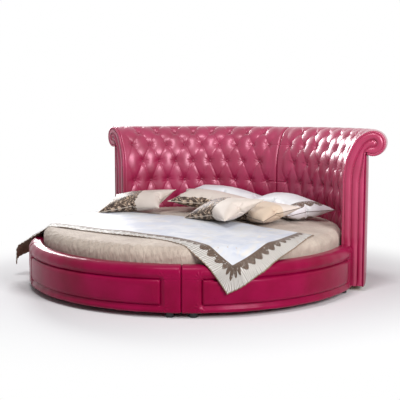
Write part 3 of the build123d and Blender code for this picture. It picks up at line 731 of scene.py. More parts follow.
# %% Gathered edges
def gathered_edge(name, seam, side):
    """Gathered edge of the tufted cover beside an end facing."""
    cord, step = 0.0085, 0.0028
    centre = np.array([point[:2] for point in head_line(cord, pad_low, scroll_end, step)])
    along = np.r_[0, np.cumsum(np.hypot(*np.diff(centre, axis=0).T))]
    run = np.gradient(centre, axis=0)
    run /= np.hypot(*run.T)[:, None]
    around = 14
    bm = bmesh.new()
    rings = []
    for place, (run_r, run_z), distance in zip(centre, run, along):
        turn = smooth_step(along_front(0.90), along_front(0.99), distance)
        pleat = 0.0012 * turn * math.sin(distance * 2 * math.pi / 0.0125)
        ring = []
        for k in range(around):
            angle = 2 * math.pi * k / around
            out = math.cos(angle) * (cord + pleat)
            beside = math.sin(angle) * (cord * 0.95 + pleat * 0.6)
            ring.append(bm.verts.new((place[0] - run_z * out, 0.0105 + beside, place[1] + run_r * out)))
        edges = [bm.edges.new(pair) for pair in zip(ring, ring[1:] + ring[:1])]
        if rings:
            bmesh.ops.bridge_loops(bm, edges=rings[-1] + edges)
        rings.append(edges)
    bmesh.ops.holes_fill(bm, edges=rings[0] + rings[-1], sides=0)
    if side > 0:
        bmesh.ops.scale(bm, verts=bm.verts, vec=(1, -1, 1))
    mesh = turned_mesh(bm, seam, "headboard_" + name + "_gathered_edge")
    return finished(mesh, lit_tufted_leather, "bed_frame")


for name, (seam, side) in head_ends.items():
    count_faces(gathered_edge(name, seam, side))

# %% [markdown]
# The back of each half is one smooth padded sheet from the floor to the underside of the scroll,
# with rounded edges and a quilted seam line where the cover is stapled to the frame.

# %% Back covers
back_top = scroll_centre[1] - math.sqrt(scroll_radius ** 2 - (scroll_centre[0] - back_radius) ** 2)
back_depth = 0.0047


def back_cover(name, start, side):
    """Padded back of one half."""
    inner, outer = back_radius - back_depth, back_radius
    points = line_points((inner, rail_low), (outer, rail_low), (0, -1), 0.004)
    points += line_points((outer, rail_low), (outer, back_top - 0.0003), (1, 0), 0.012)
    points += line_points((outer, back_top - 0.0003), (inner, back_top - 0.0003), (0, 1), 0.004)
    points += line_points((inner, back_top - 0.0003), (inner, rail_low), (-1, 0), 0.05)
    mesh = spun_mesh("headboard_" + name + "_padded_back", measured(points)[:-1], section_angle, 10, 14)
    radius, angle, height, notes = read_notes(mesh)
    clear = 0.0006 / radius
    share = angle / math.radians(section_angle)
    angle = clear + share * (math.radians(section_angle) - 2 * clear)
    edge = np.minimum(share, 1 - share) * math.radians(section_angle) * radius
    rim = np.minimum(edge, np.minimum(height - rail_low, back_top - height))
    puff = 0.004 * (1 - np.exp(-rim / 0.03)) - 0.0035 * np.exp(-rim / 0.006)
    for line in (0.25, 0.5, 0.75):
        near = np.abs(share - line) * math.radians(section_angle) * radius
        puff -= 0.0045 * np.exp(-(near / 0.007) ** 1.4)
    radius = radius + np.where(notes["out_r"] > 0.5, puff, 0)
    place_vertices(mesh, radius, angle + math.radians(start), height)
    piece = finished(mesh, shaded_leather, "bed_frame", ["headboard_" + name + "_back_cover"])
    return piece


for name, (start, side) in head_sides.items():
    count_faces(back_cover(name, start, side))

# %% [markdown]
# Each button is a small leather-covered dome. One mesh is spun once and copied into every dimple,
# turned to face straight out of the cover, and all copies of a half are joined to one piece.

# %% Buttons
def button_mesh():
    """Dome of a covered button, its back towards -Z."""
    bm = bmesh.new()
    section = [(0, 0.0048), (0.0042, 0.0043), (0.0078, 0.0028), (0.0098, 0.0004), (0.0090, -0.0018),
               (0, -0.0026)]
    line = [bm.verts.new((r, 0, z)) for r, z in section]
    edges = [bm.edges.new(pair) for pair in zip(line, line[1:])]
    bmesh.ops.spin(bm, geom=line + edges, axis=(0, 0, 1), angle=2 * math.pi, steps=14, use_merge=True)
    bmesh.ops.remove_doubles(bm, verts=bm.verts, dist=0.00005)
    bmesh.ops.recalc_face_normals(bm, faces=bm.faces)
    return mesh_of(bm, "button")


def front_at(along):
    """Radius, height and turn of the headboard's front at a distance along it."""
    run = flare_start - pad_low
    if along <= run:
        return front_radius, pad_low + along, 0.0
    turn = (along - run) / flare_radius
    if math.degrees(turn) <= flare_turn:
        centre, reach = flare_centre, flare_radius
    else:
        run += flare_radius * math.radians(flare_turn)
        turn = math.radians(flare_turn) + (along - run) / neck_radius
        centre, reach = neck_centre, neck_radius
    return centre[0] - reach * math.cos(turn), centre[1] + reach * math.sin(turn), turn


def tuft_buttons(name, start, side):
    """All buttons of one half, joined to one mesh."""
    bm = bmesh.new()
    shape = button_mesh()
    seam = 90.0
    for degrees_out, along in button_places():
        radius, height, turn = front_at(along)
        sunk = button_depth + fold_depth - cell_base - 0.0045
        radius, height = radius + sunk * math.cos(turn), height - sunk * math.sin(turn)
        angle = math.radians(seam + side * degrees_out)
        out = Vector((-math.cos(turn) * math.cos(angle), -math.cos(turn) * math.sin(angle), math.sin(turn)))
        place = Matrix.Translation((radius * math.cos(angle), radius * math.sin(angle), height))
        place = place @ out.to_track_quat("Z", "Y").to_matrix().to_4x4()
        before = len(bm.verts)
        bm.from_mesh(shape)
        bm.verts.ensure_lookup_table()
        bmesh.ops.transform(bm, matrix=place, verts=bm.verts[before:])
    mesh = mesh_of(bm, "headboard_" + name + "_covered_buttons")
    return finished(mesh, button_leather, "bed_frame", ["headboard_" + name + "_buttons"])


button_leather = leather_finish("pink_button_leather", paint(122, 6, 48), paint(140, 12, 62), 0.5, 0.6)
for name, (start, side) in head_sides.items():
    count_faces(tuft_buttons(name, start, side))

# %% [markdown]
# The fitted sheet is stretched over the round mattress, so it shows many fine crinkles that run
# down and slantwise over the edge. It is spun once all round, and the crinkles are waves whose
# direction wanders slowly, small on the top and larger on the side.

# %% Fitted sheet
mattress_radius, edge_radius, edge_top, crown_rise = 1.0, 0.060, 0.385, 0.025
sheet_thickness, sheet_skirt = 0.002, 0.216
edge_middle = (mattress_radius - edge_radius, edge_top - edge_radius)


def crown_height(radius):
    """Height of the mattress's top at a radius."""
    sphere = (edge_middle[0] ** 2 + crown_rise ** 2) / (2 * crown_rise)
    return edge_top + crown_rise - sphere + np.sqrt(sphere ** 2 - np.minimum(radius, edge_middle[0]) ** 2)


def crinkles(angle, along):
    """Height of the crinkles of a stretched sheet, at most about 1."""
    height = np.zeros(len(angle))
    draws = np.random.default_rng(11)
    for wave, lean, size in ((95, 9, 0.5), (140, -14, 0.4), (210, 22, 0.35), (330, -30, 0.25), (60, 30, 0.4)):
        phase, drift = draws.uniform(0, 2 * math.pi, 2)
        slow = 2.2 * np.sin(7 * angle + drift) + 1.4 * np.sin(17 * angle + 2 * drift + 6 * along)
        turn = wave * angle + lean * along * 6 + slow + phase
        patch = 0.5 + 0.5 * np.sin(11 * angle + 13 * along + 3 * drift)
        height += size * (1 - 2 * np.abs(np.sin(turn / 2))) * patch
    return height


def fitted_sheet():
    """Stretched sheet over the mattress, its skirt tucked down inside the rails."""
    points = [(r, float(crown_height(r)), 0, 1) for r in np.linspace(0, edge_middle[0], 48)]
    points += arc_points(edge_middle, edge_radius, 90, 180, 0.006)
    points += line_points((mattress_radius, edge_middle[1]), (mattress_radius, sheet_skirt), (1, 0), 0.011)
    bm = bmesh.new()
    spin_finely(bm, measured(points), 360, 20, 37, False)
    bmesh.ops.remove_doubles(bm, verts=bm.verts, dist=1e-5)
    bmesh.ops.recalc_face_normals(bm, faces=bm.faces)
    mesh = mesh_of(bm, "crinkled_fitted_sheet")
    radius, angle, height, notes = read_notes(mesh)
    side = smooth_step(0.80, 1.0, notes["along"]) * smooth_step(sheet_skirt, 0.27, height)
    rise = np.maximum(crinkles(angle, notes["along"]) + 0.7, 0) * (0.0004 + 0.0034 * side)
    place_vertices(mesh, radius + rise * notes["out_r"], angle, height + rise * notes["out_z"])
    piece = finished(mesh, sheet_cloth, "mattress", ["fitted_sheet"])
    wall = piece.modifiers.new("thickness", "SOLIDIFY")
    wall.thickness, wall.offset = sheet_thickness, -1
    return piece


def cloth_finish(name, colour, shade, crease=0.25, upright=1.0, rough=0.8):
    """Woven cloth with a slow change of shade and a fine weave."""
    material, tree, surface = new_finish(name, Roughness=rough, Sheen_Weight=0.15, Sheen_Roughness=0.5)
    point = object_point(tree)
    broad = noise(tree, point, 9.0, 5.0)
    share = ramp(tree, broad, 0.35, 0.65)
    tree.links.new(blend_colours(tree, share, shade, colour), surface.inputs["Base Color"])
    waves = [add(tree, "TexWave", {"Vector": point, "Scale": 45.0, "Distortion": 1.5, "Detail": 1.0},
                 bands_direction=axis).outputs["Fac"] for axis in ("X", "Y")]
    woven = calc(tree, "MAXIMUM", *waves)
    drawn = add(tree, "VectorMath", {0: point, 1: (1, 1, upright)}, operation="MULTIPLY").outputs["Vector"]
    fine = noise(tree, drawn, 55.0, 4.0, Distortion=0.5)
    normal = bump(tree, fine, 0.004 + 0.006 * (crease > 0.5), crease)
    normal = bump(tree, woven, 0.0006, 0.3, normal)
    tree.links.new(normal, surface.inputs["Normal"])
    return material


sheet_cloth = cloth_finish("taupe_sheet", paint(188, 173, 160), paint(170, 154, 142),
                           crease=0.9, upright=0.35)
count_faces(fitted_sheet())

# %% [markdown]
# A draped cloth keeps its flat size and bends over what it meets. The throw's map does that: a flat
# point at a distance from the middle of the bed keeps its direction and goes as far along the
# section of the mattress and the rail as it lies from the middle. What the cloth has too much of
# at a round edge goes into waves towards the hem. The border's distances are kept as a map of
# their own, so that lace and ruffle follow the hem. At the left foot corner the cloth hangs free, so
# there it follows a second line that stands off from the rail.

# %% Drape of the throw
throw_lift, throw_thickness, throw_flat = 0.0032, 0.0024, (2.02, 0.85)
border_width, lace_width, scallop = 0.115, 0.056, 0.062
roll_reach, roll_centre_height = rail_outer - roll_radius, rail_top - roll_radius


def drape_table(stand_off, sink=0.0):
    """Radius and height at each distance along the section that the cloth follows."""
    edge, around_edge = edge_middle, edge_radius + throw_lift
    roll, around_roll = (roll_reach + stand_off, roll_centre_height - sink), roll_radius + throw_lift
    across, down = roll[0] - edge[0], roll[1] - edge[1]
    lean = math.degrees(math.acos((around_edge - around_roll) / math.hypot(across, down)))
    turn = 180 - lean - math.degrees(math.atan2(down, across))
    points = [(r, float(crown_height(r)) + throw_lift, 0, 1) for r in np.linspace(0, edge[0], 90)]
    points += arc_points(edge, around_edge, 90, turn, 0.003)
    points += arc_points(roll, around_roll, turn, 180, 0.003)
    points += line_points((roll[0] + around_roll, roll[1]), (roll[0] + around_roll, -0.2), (1, 0), 0.01)
    table = np.array(measured(points))
    distances = np.linspace(0, 1.6, 1601)
    return [np.interp(distances, table[:, 4], table[:, k]) for k in range(4)]


# %% Flat outline of the throw as it lies, in metres across and along the bed
foot_line = [(-1.09, -0.835), (-0.99, -0.79), (-0.89, -0.765), (-0.70, -0.715), (-0.51, -0.745),
             (-0.16, -0.769), (0.12, -0.756), (0.355, -0.712), (0.474, -0.740), (0.60, -0.782),
             (0.80, -0.817), (0.962, -0.836)]
right_line = [(0.962, -0.836), (0.99, -0.761), (1.008, -0.641), (1.012, -0.522), (0.995, -0.26),
              (0.948, 0.017)]
left_line = [(-1.09, -0.835), (-1.10, -0.60), (-1.085, -0.28), (-1.03, 0.06)]
far_line = [(-1.03, 0.06), (-0.5, 0.055), (0.2, 0.045), (0.948, 0.017)]


def on_line(line, share):
    """Places at shares of the length of a line, with its corners softened."""
    line = np.array(line)
    along = np.r_[0, np.cumsum(np.hypot(*np.diff(line, axis=0).T))]
    along /= along[-1]
    fine = np.linspace(0, 1, 401)
    soft = np.stack([np.interp(fine, along, line[:, k]) for k in (0, 1)], 1)
    for _ in range(240):
        soft[1:-1] = (soft[:-2] + 2 * soft[1:-1] + soft[2:]) / 4
    return np.stack([np.interp(share, fine, soft[:, k]) for k in (0, 1)], 1)


def throw_places(u, v):
    """Flat places for shares u from left to right and v from the foot hem to the far hem."""
    foot, far = on_line(foot_line, u), on_line(far_line, u)
    left, right = on_line(left_line, v), on_line(right_line, v)
    corners = [np.array(corner) for corner in (foot_line[0], foot_line[-1], far_line[0], far_line[-1])]
    u, v = u[:, None], v[:, None]
    flat = (1 - v) * foot + v * far + (1 - u) * left + u * right
    flat -= (1 - u) * (1 - v) * corners[0] + u * (1 - v) * corners[1]
    flat -= (1 - u) * v * corners[2] + u * v * corners[3]
    return flat


def hem_waves(u, v, beyond, angle):
    """Waves of the cloth: low swells on the bed and folds where it hangs."""
    swell_height = 0.0022 * np.sin(9 * u * 2 + 3 * v + 1.3) * np.sin(5 * v + 7 * u + 0.4)
    swell_height += 0.0014 * np.sin(23 * u + 11 * v) + 0.0010 * np.sin(41 * u - 17 * v + 2)
    hang = np.clip(beyond, 0, 0.4)
    folds = 0.040 * hang * (1 + np.sin(27 * angle + 0.8)) + 0.018 * hang * (1 + np.sin(52 * angle + 2.1))
    return 0.0024 + swell_height + folds


def border_map(u, v):
    """Distance along the border and from the hem; it fans out round the two hanging corners."""
    (wide, deep), square = throw_flat, border_width + 0.02
    from_left, from_foot = u * wide, v * deep
    beside = np.minimum(from_left, wide - from_left)
    hem = np.minimum(from_foot, beside)
    turn = np.arctan2(np.maximum(square - beside, 0), np.maximum(square - from_foot, 1e-9)) / (math.pi / 2)
    past = np.where(from_foot > square, from_foot, square * (2 * turn - 1))
    on_side = beside < square
    right = from_left > wide / 2
    run = np.where(on_side, np.where(right, wide + past, -past), from_left)
    return run, hem


def throw_cloth():
    """Satin throw with a lace border and a ruffle."""
    columns, rows = 360, 130
    bm = bmesh.new()
    bmesh.ops.create_grid(bm, x_segments=columns, y_segments=rows, size=0.5)
    mesh = mesh_of(bm, "draped_throw")
    place = vertex_places(mesh)
    u, v = np.clip(place[:, 0] + 0.5, 0, 1), np.clip(place[:, 1] + 0.5, 0, 1)
    u, v = np.interp(u, (0, 0.11, 0.89, 1), (0, 0.062, 0.938, 1)), np.interp(v, (0, 0.28, 1), (0, 0.145, 1))
    flat = throw_places(u, v)
    run, hem = border_map(u, v)
    reach, angle = np.hypot(*flat.T), np.arctan2(flat[:, 1], flat[:, 0])
    leftness = smooth_step(-0.55, -0.95, flat[:, 0]) * np.exp(-(v * throw_flat[1] / 0.20) ** 2)
    near, off = drape_table(0.004), drape_table(0.095, 0.060)
    distances = np.linspace(0, 1.6, 1601)
    radius, height, out_r, out_z = (
        np.interp(reach, distances, a) * (1 - leftness) + np.interp(reach, distances, b) * leftness
        for a, b in zip(near, off))
    waves = hem_waves(u, v, reach - 1.02, angle)
    ruffle = smooth_step(0.068, 0.0, hem)
    gathers = 0.0032 * ruffle * np.sin(run * 2 * math.pi / 0.030 + 1.5 * np.sin(run * 31))
    stitched = -0.0008 * np.exp(-((hem - 0.070) / 0.004) ** 2)
    stitched = stitched - 0.0006 * np.exp(-((hem - border_width) / 0.003) ** 2)
    lift = np.maximum(waves + gathers + stitched, 0.0004)
    radius, height = radius + lift * out_r, height + lift * out_z
    place_vertices(mesh, radius, angle, height)
    edge = mesh.uv_layers.new(name="border")
    loops = np.zeros(len(mesh.loops), int)
    mesh.loops.foreach_get("vertex_index", loops)
    edge.data.foreach_set("uv", np.stack([run, hem], 1)[loops].ravel())
    mesh.update()
    piece = finished(mesh, throw_top, "mattress", ["throw"])
    mesh.materials.append(throw_lining)
    wall = piece.modifiers.new("thickness", "SOLIDIFY")
    wall.thickness, wall.offset = throw_thickness, -1
    wall.material_offset, wall.material_offset_rim = 1, 1
    return piece


def between(tree, value, low, high):
    """1 where a value lies between two others, 0 outside."""
    above = calc(tree, "GREATER_THAN", value, low)
    below = calc(tree, "LESS_THAN", value, high)
    return calc(tree, "MULTIPLY", above, below)


def lace_mask(tree, run, hem, inner, width, repeat):
    """Mask of a lace band with scallops: full at its inner line, open work towards its points."""
    turn = calc(tree, "MULTIPLY", run, math.pi / repeat)
    sine = add(tree, "Math", {0: turn}, operation="SINE").outputs[0]
    wave = add(tree, "Math", {0: sine}, operation="ABSOLUTE").outputs[0]
    drop = calc(tree, "MULTIPLY", wave, width * 0.55)
    limit = calc(tree, "SUBTRACT", inner - width * 0.45, drop)
    return between(tree, hem, limit, inner)


def throw_finish():
    """White satin with a faint woven pattern, a brown lace line and a white ruffle with painted shade in its
    gathers.
    """
    material, tree, surface = new_finish("white_satin_throw", Specular_IOR_Level=0.25, Sheen_Weight=0.1)
    point = object_point(tree)
    uv = add(tree, "UVMap", uv_map="border").outputs["UV"]
    parts = add(tree, "SeparateXYZ", {0: uv})
    run, hem = parts.outputs["X"], parts.outputs["Y"]
    cloud = noise(tree, point, 6.0, 4.0, Distortion=1.2)
    share = ramp(tree, cloud, 0.40, 0.62)
    ground = blend_colours(tree, share, paint(186, 190, 202), paint(204, 205, 210))
    bloom = add(tree, "TexVoronoi", {"Vector": point, "Scale": 8.0, "Randomness": 0.9}, feature="SMOOTH_F1")
    petals = add(tree, "TexWave", {"Vector": point, "Scale": 9.0, "Distortion": 9.0, "Detail": 2.0})
    cream = calc(tree, "MULTIPLY", ramp(tree, bloom.outputs["Distance"], 0.45, 0.2), petals.outputs["Fac"])
    ground = blend_colours(tree, calc(tree, "MULTIPLY", cream, 0.55), ground, paint(214, 205, 190))
    ruffle = between(tree, hem, -1.0, border_width)
    # The ruffle's pleats are painted as stripes from grey to white: painted shade in the folds and painted
    # light on their ridges.
    pleats = add(tree, "TexWave", {"Vector": uv, "Scale": 27.0, "Distortion": 2.5, "Detail": 2.0})
    pleat_shade_share = ramp(tree, pleats.outputs["Fac"], 0.1, 0.9)
    painted_pleat_shade = blend_colours(tree, pleat_shade_share, paint(148, 141, 135), paint(206, 202, 198))
    ground = blend_colours(tree, ruffle, ground, painted_pleat_shade)
    cells = add(tree, "TexVoronoi", {"Vector": uv, "Scale": 85.0}, feature="DISTANCE_TO_EDGE")
    holes = calc(tree, "LESS_THAN", cells.outputs["Distance"], 0.30)
    flowers = add(tree, "TexVoronoi", {"Vector": uv, "Scale": 34.0}, feature="F1")
    solid = calc(tree, "LESS_THAN", flowers.outputs["Distance"], 0.36)
    thread = calc(tree, "MAXIMUM", holes, solid)
    band = lace_mask(tree, run, hem, border_width, lace_width, scallop)
    lace = calc(tree, "MULTIPLY", band, thread)
    tone = noise(tree, uv, 160.0, 2.0)
    brown = blend_colours(tree, ramp(tree, tone, 0.35, 0.65), paint(56, 42, 34), paint(112, 92, 78))
    ground = blend_colours(tree, lace, ground, brown)
    line = between(tree, hem, border_width - 0.003, border_width + 0.005)
    ground = blend_colours(tree, line, ground, paint(96, 78, 66))
    piping = between(tree, hem, -1.0, 0.006)
    ground = blend_colours(tree, piping, ground, paint(128, 108, 90))
    tree.links.new(ground, surface.inputs["Base Color"])
    rough = spread(tree, petals.outputs["Fac"], 0.50, 0.66)
    tree.links.new(rough, surface.inputs["Roughness"])
    relief = calc(tree, "MULTIPLY", lace, 0.6)
    soft = noise(tree, point, 24.0, 3.0)
    normal = bump(tree, soft, 0.004, 0.22)
    normal = bump(tree, relief, 0.0012, 0.5, normal)
    folded = calc(tree, "MULTIPLY", ruffle, pleats.outputs["Fac"])
    tree.links.new(bump(tree, folded, 0.003, 0.7, normal), surface.inputs["Normal"])
    return material


throw_top = throw_finish()
throw_lining = cloth_finish("brown_lining", paint(138, 112, 88), paint(112, 88, 68), rough=0.7)
count_faces(throw_cloth())

# %% [markdown]
# A pillow is two flat pieces of cloth sewn together along their rim and filled. That is also the
# way to model it: two grids share their rim, start almost flat, and are blown up by the pressure
# of a cloth simulation. The rim has to get shorter while the middle rises, so the sides draw in,
# the corners stay pointed and small wrinkles run out from the seam. A map of the flat cloth is
# kept for the prints. The result is then held near the CAD solid's shape. It may stand out past the
# solid by up to 20 mm above and 5 mm below, so some pillows cross what they lie on at rest.

# %% Pillow cases
crown_top = edge_top + crown_rise
large_pillow, sham = (0.630, 0.380, 0.150), (0.510, 0.350, 0.120)
pillows = {  # size, place across and along the bed, rest height share, tilt, roll, yaw
    "pillow_back_left": (large_pillow, (-0.228, 0.695, 0.5139), (3.0, 7.8, 14.8)),
    "pillow_back_right": (large_pillow, (0.385, 0.600, 0.4395), (4.0, 3.2, -27.0)),
    "sham_rear_left": (sham, (-0.174, 0.396, 0.7422), (9.4, 6.0, 16.3)),
    "sham_rear_right": (sham, (0.393, 0.211, 0.5182), (11.5, -1.8, -14.9)),
    "sham_front_left": (sham, (-0.648, 0.128, 0.5750), (17.0, -7.0, 19.0)),
    "sham_front_middle": (sham, (0.233, 0.032, 0.7052), (20.3, -4.6, -17.5)),
}
case_columns, case_rows = 74, 50
fullness, past_top, past_bottom = 1.12, 0.020, 0.005
blow_frames, blow_pressure = 28, 9.0
cord_reach = 0.0022


def case_mesh(name, size):
    """Flat pillow case: two grids with one rim, thin at the start, with a map of the cloth."""
    width, depth, thickness = size
    bm = bmesh.new()
    bmesh.ops.create_grid(bm, x_segments=case_columns, y_segments=case_rows, size=0.5)
    uv = bm.loops.layers.uv.new("case")
    for face in bm.faces:
        for loop in face.loops:
            loop[uv].uv = (loop.vert.co.x * width, loop.vert.co.y * depth)
    made = bmesh.ops.duplicate(bm, geom=bm.verts[:] + bm.edges[:] + bm.faces[:])
    lower = [item for item in made["geom"] if isinstance(item, bmesh.types.BMFace)]
    below = [item for item in made["geom"] if isinstance(item, bmesh.types.BMVert)]
    for face in lower:
        face.material_index = 1
    bmesh.ops.reverse_faces(bm, faces=lower)
    draws = np.random.default_rng(sum(map(ord, name)))
    phase = draws.uniform(0, 2 * math.pi, 4)
    behind = set(below)
    for vertex in bm.verts:
        x, y = vertex.co.x * 2, vertex.co.y * 2
        full = (1 - x ** 2) ** 0.5 * (1 - y ** 2) ** 0.5 if abs(x) < 1 and abs(y) < 1 else 0
        rise = 0.16 * full * thickness
        rise += 0.0015 * full * math.sin(9 * x + phase[0]) * math.sin(7 * y + phase[1])
        pointed = 1 + 0.03 * x * x * y * y
        vertex.co = (x * width / 2 * pointed, y * depth / 2 * pointed, -rise if vertex in behind else rise)
    bmesh.ops.remove_doubles(bm, verts=bm.verts, dist=1e-5)
    return mesh_of(bm, name + "_case")


def inflate(mesh, frames, pressure):
    """Blows up a closed mesh as cloth and returns the result."""
    body = bpy.data.objects.new("inflating", mesh)
    bpy.context.scene.collection.objects.link(body)
    cloth = body.modifiers.new("cloth", "CLOTH")
    settings = cloth.settings
    settings.quality = 6
    settings.mass = 0.25
    settings.tension_stiffness, settings.compression_stiffness = 18, 12
    settings.shear_stiffness, settings.bending_stiffness = 6, 0.12
    settings.air_damping = 3
    settings.use_pressure, settings.uniform_pressure_force = True, pressure
    settings.effector_weights.gravity = 0
    cloth.collision_settings.use_collision = False
    cloth.point_cache.frame_start, cloth.point_cache.frame_end = 1, frames
    scene = bpy.context.scene
    for frame_number in range(1, frames + 1):
        scene.frame_set(frame_number)
    result = bpy.data.meshes.new_from_object(body.evaluated_get(bpy.context.evaluated_depsgraph_get()))
    bpy.data.objects.remove(body)
    scene.frame_set(1)
    return result


def solid_limits(size, x, y):
    """Half thickness of the CAD pillow at places across it."""
    width, depth, thickness = size
    along = np.clip(np.abs(x) / (width / 2), 0, 1)
    half_depth = depth / 2 * (0.92 + 0.08 * along ** 3)
    rise = thickness / 2 * (0.12 + 0.88 * (1 - along ** 4))
    return rise * np.maximum(0, 1 - (y / half_depth) ** 2)


def fit_to_solid(mesh, size):
    """Scales a blown-up case to its size and holds it near its CAD solid."""
    width, depth, thickness = size
    x, y, z = vertex_places(mesh).T
    x = x * (width / 2) / np.abs(x).max()
    y = y * (depth / 2) / np.abs(y).max()
    upper = z > 0
    z = z * fullness * thickness / (z.max() - z.min())
    limit = solid_limits(size, x, y)
    corner = np.clip(np.abs(x) / (width / 2), 0, 1) ** 6 * np.clip(np.abs(y) / (depth / 2), 0, 1) ** 6
    allowed = limit + np.where(upper, past_top, past_bottom) * (1 - 0.7 * corner)
    over = np.abs(z) / np.maximum(allowed, 1e-4)
    held = np.where(over > 0.8, 0.8 + 0.2 * np.tanh((over - 0.8) / 0.2), over)
    z = np.sign(z) * held * allowed
    mesh.vertices.foreach_set("co", np.stack([x, y, z], 1).ravel())
    mesh.update()


def pillow_place(size, middle, turns):
    """Matrix that lays a pillow where the CAD pillow lies."""
    across, along, rest = middle
    tilt, roll, yaw = (math.radians(turn) for turn in turns)
    shift = Matrix.Translation((across, along, crown_top + rest * size[2]))
    turn = Matrix.Rotation(yaw, 4, "Z") @ Matrix.Rotation(tilt, 4, "X") @ Matrix.Rotation(roll, 4, "Y")
    return shift @ turn


def rim_order(mesh):
    """Vertex numbers along the sewn rim of a case."""
    lower = {v for p in mesh.polygons if p.material_index == 1 for v in p.vertices}
    upper = {v for p in mesh.polygons if p.material_index == 0 for v in p.vertices}
    rim = lower & upper
    near = {v: [] for v in rim}
    for a, b in mesh.edge_keys:
        if a in rim and b in rim:
            near[a].append(b)
            near[b].append(a)
    start = min(rim)
    order, last, now = [start], None, start
    while True:
        ahead = [v for v in near[now] if v != last and (v not in order[1:])]
        ahead = [v for v in ahead if v != start or len(order) > 2]
        if not ahead or ahead[0] == start:
            return order
        last, now = now, ahead[0]
        order.append(now)


def seam_mesh(name, mesh, reach):
    """Corded seam along the rim of a case."""
    places = [mesh.vertices[v].co.copy() for v in rim_order(mesh)]
    middle = sum(places, Vector()) / len(places)
    bm = bmesh.new()
    rings = []
    for k, place in enumerate(places):
        run = (places[(k + 1) % len(places)] - places[k - 1]).normalized()
        out = (place - middle)
        out = (out - out.dot(run) * run).normalized()
        up = run.cross(out)
        ring = []
        for turn in range(6):
            angle = turn * math.pi / 3
            ring.append(bm.verts.new(place + reach * (math.cos(angle) * out + math.sin(angle) * up)))
        rings.append([bm.edges.new(pair) for pair in zip(ring, ring[1:] + ring[:1])])
    for first, second in zip(rings, rings[1:] + rings[:1]):
        bmesh.ops.bridge_loops(bm, edges=first + second)
    bmesh.ops.recalc_face_normals(bm, faces=bm.faces)
    return mesh_of(bm, name + "_seam")


def pillow(name, upper_cloth, lower_cloth, seam_cloth, slot):
    """Filled pillow with its seam, laid in place."""
    size, middle, turns = pillows[name]
    mesh = case_mesh(name, size)
    mesh = inflate(mesh, blow_frames, blow_pressure)
    fit_to_solid(mesh, size)
    seam = seam_mesh(name, mesh, cord_reach)
    matrix = pillow_place(size, middle, turns)
    for part in (mesh, seam):
        part.transform(matrix)
    mesh.name = name + "_filled"
    mesh.materials.clear()
    piece = finished(mesh, upper_cloth, name, [name])
    mesh.materials.append(lower_cloth)
    finer = piece.modifiers.new("finer", "SUBSURF")
    finer.levels = finer.render_levels = 1
    finished(seam, seam_cloth, name)
    return piece


# %% [markdown]
# The satin shams carry a large rose print in browns on one part and plain cream satin on the rest.
# A rose is drawn from a cell pattern: around the middle of every cell run wavy rings, which read as
# petals, and the gaps between cells fill with dark leaves.

# %% Pillow cloths
def satin(name, colour, shade, rough=0.38):
    """Plain satin."""
    material, tree, surface = new_finish(name, Roughness=rough, Sheen_Weight=0.25, Sheen_Roughness=0.35)
    point = object_point(tree)
    broad = noise(tree, point, 7.0, 3.0)
    share = ramp(tree, broad, 0.35, 0.65)
    tree.links.new(blend_colours(tree, share, shade, colour), surface.inputs["Base Color"])
    folds = noise(tree, point, 22.0, 3.0, Distortion=0.6)
    tree.links.new(bump(tree, folds, 0.006, 0.25), surface.inputs["Normal"])
    return material


def rose_colour(tree, place):
    """Colour of the rose print at a place on the cloth."""
    warp = add(tree, "TexNoise", {"Vector": place, "Scale": 14.0, "Detail": 3.0})
    offset = add(tree, "VectorMath", {0: warp.outputs["Color"], 1: (0.5, 0.5, 0.5)}, operation="SUBTRACT")
    offset = add(tree, "VectorMath", {0: offset.outputs["Vector"], "Scale": 0.05}, operation="SCALE")
    moved = add(tree, "VectorMath", {0: place, 1: offset.outputs["Vector"]}, operation="ADD").outputs["Vector"]
    cells = add(tree, "TexVoronoi", {"Vector": moved, "Scale": 7.2, "Randomness": 0.7}, feature="F1")
    from_middle = add(tree, "VectorMath", {0: moved, 1: cells.outputs["Position"]}, operation="SUBTRACT")
    rings = add(tree, "TexWave", {"Vector": from_middle.outputs["Vector"], "Scale": 14.0, "Distortion": 4.0,
                                  "Detail": 3.0, "Detail Scale": 1.6}, wave_type="RINGS",
                rings_direction="SPHERICAL", wave_profile="SAW")
    light = ramp(tree, rings.outputs["Fac"], 0.12, 0.95)
    petals = blend_colours(tree, light, paint(52, 36, 30), paint(206, 182, 160))
    veins = add(tree, "TexVoronoi", {"Vector": moved, "Scale": 24.0}, feature="DISTANCE_TO_EDGE")
    petals = blend_colours(tree, ramp(tree, veins.outputs["Distance"], 0.03, 0.12), paint(56, 40, 34), petals)
    fill = noise(tree, moved, 70.0, 3.0)
    leaves = blend_colours(tree, ramp(tree, fill, 0.46, 0.62), paint(56, 40, 34), paint(190, 164, 140))
    gap = ramp(tree, cells.outputs["Distance"], 0.52, 0.62)
    return blend_colours(tree, gap, petals, leaves)


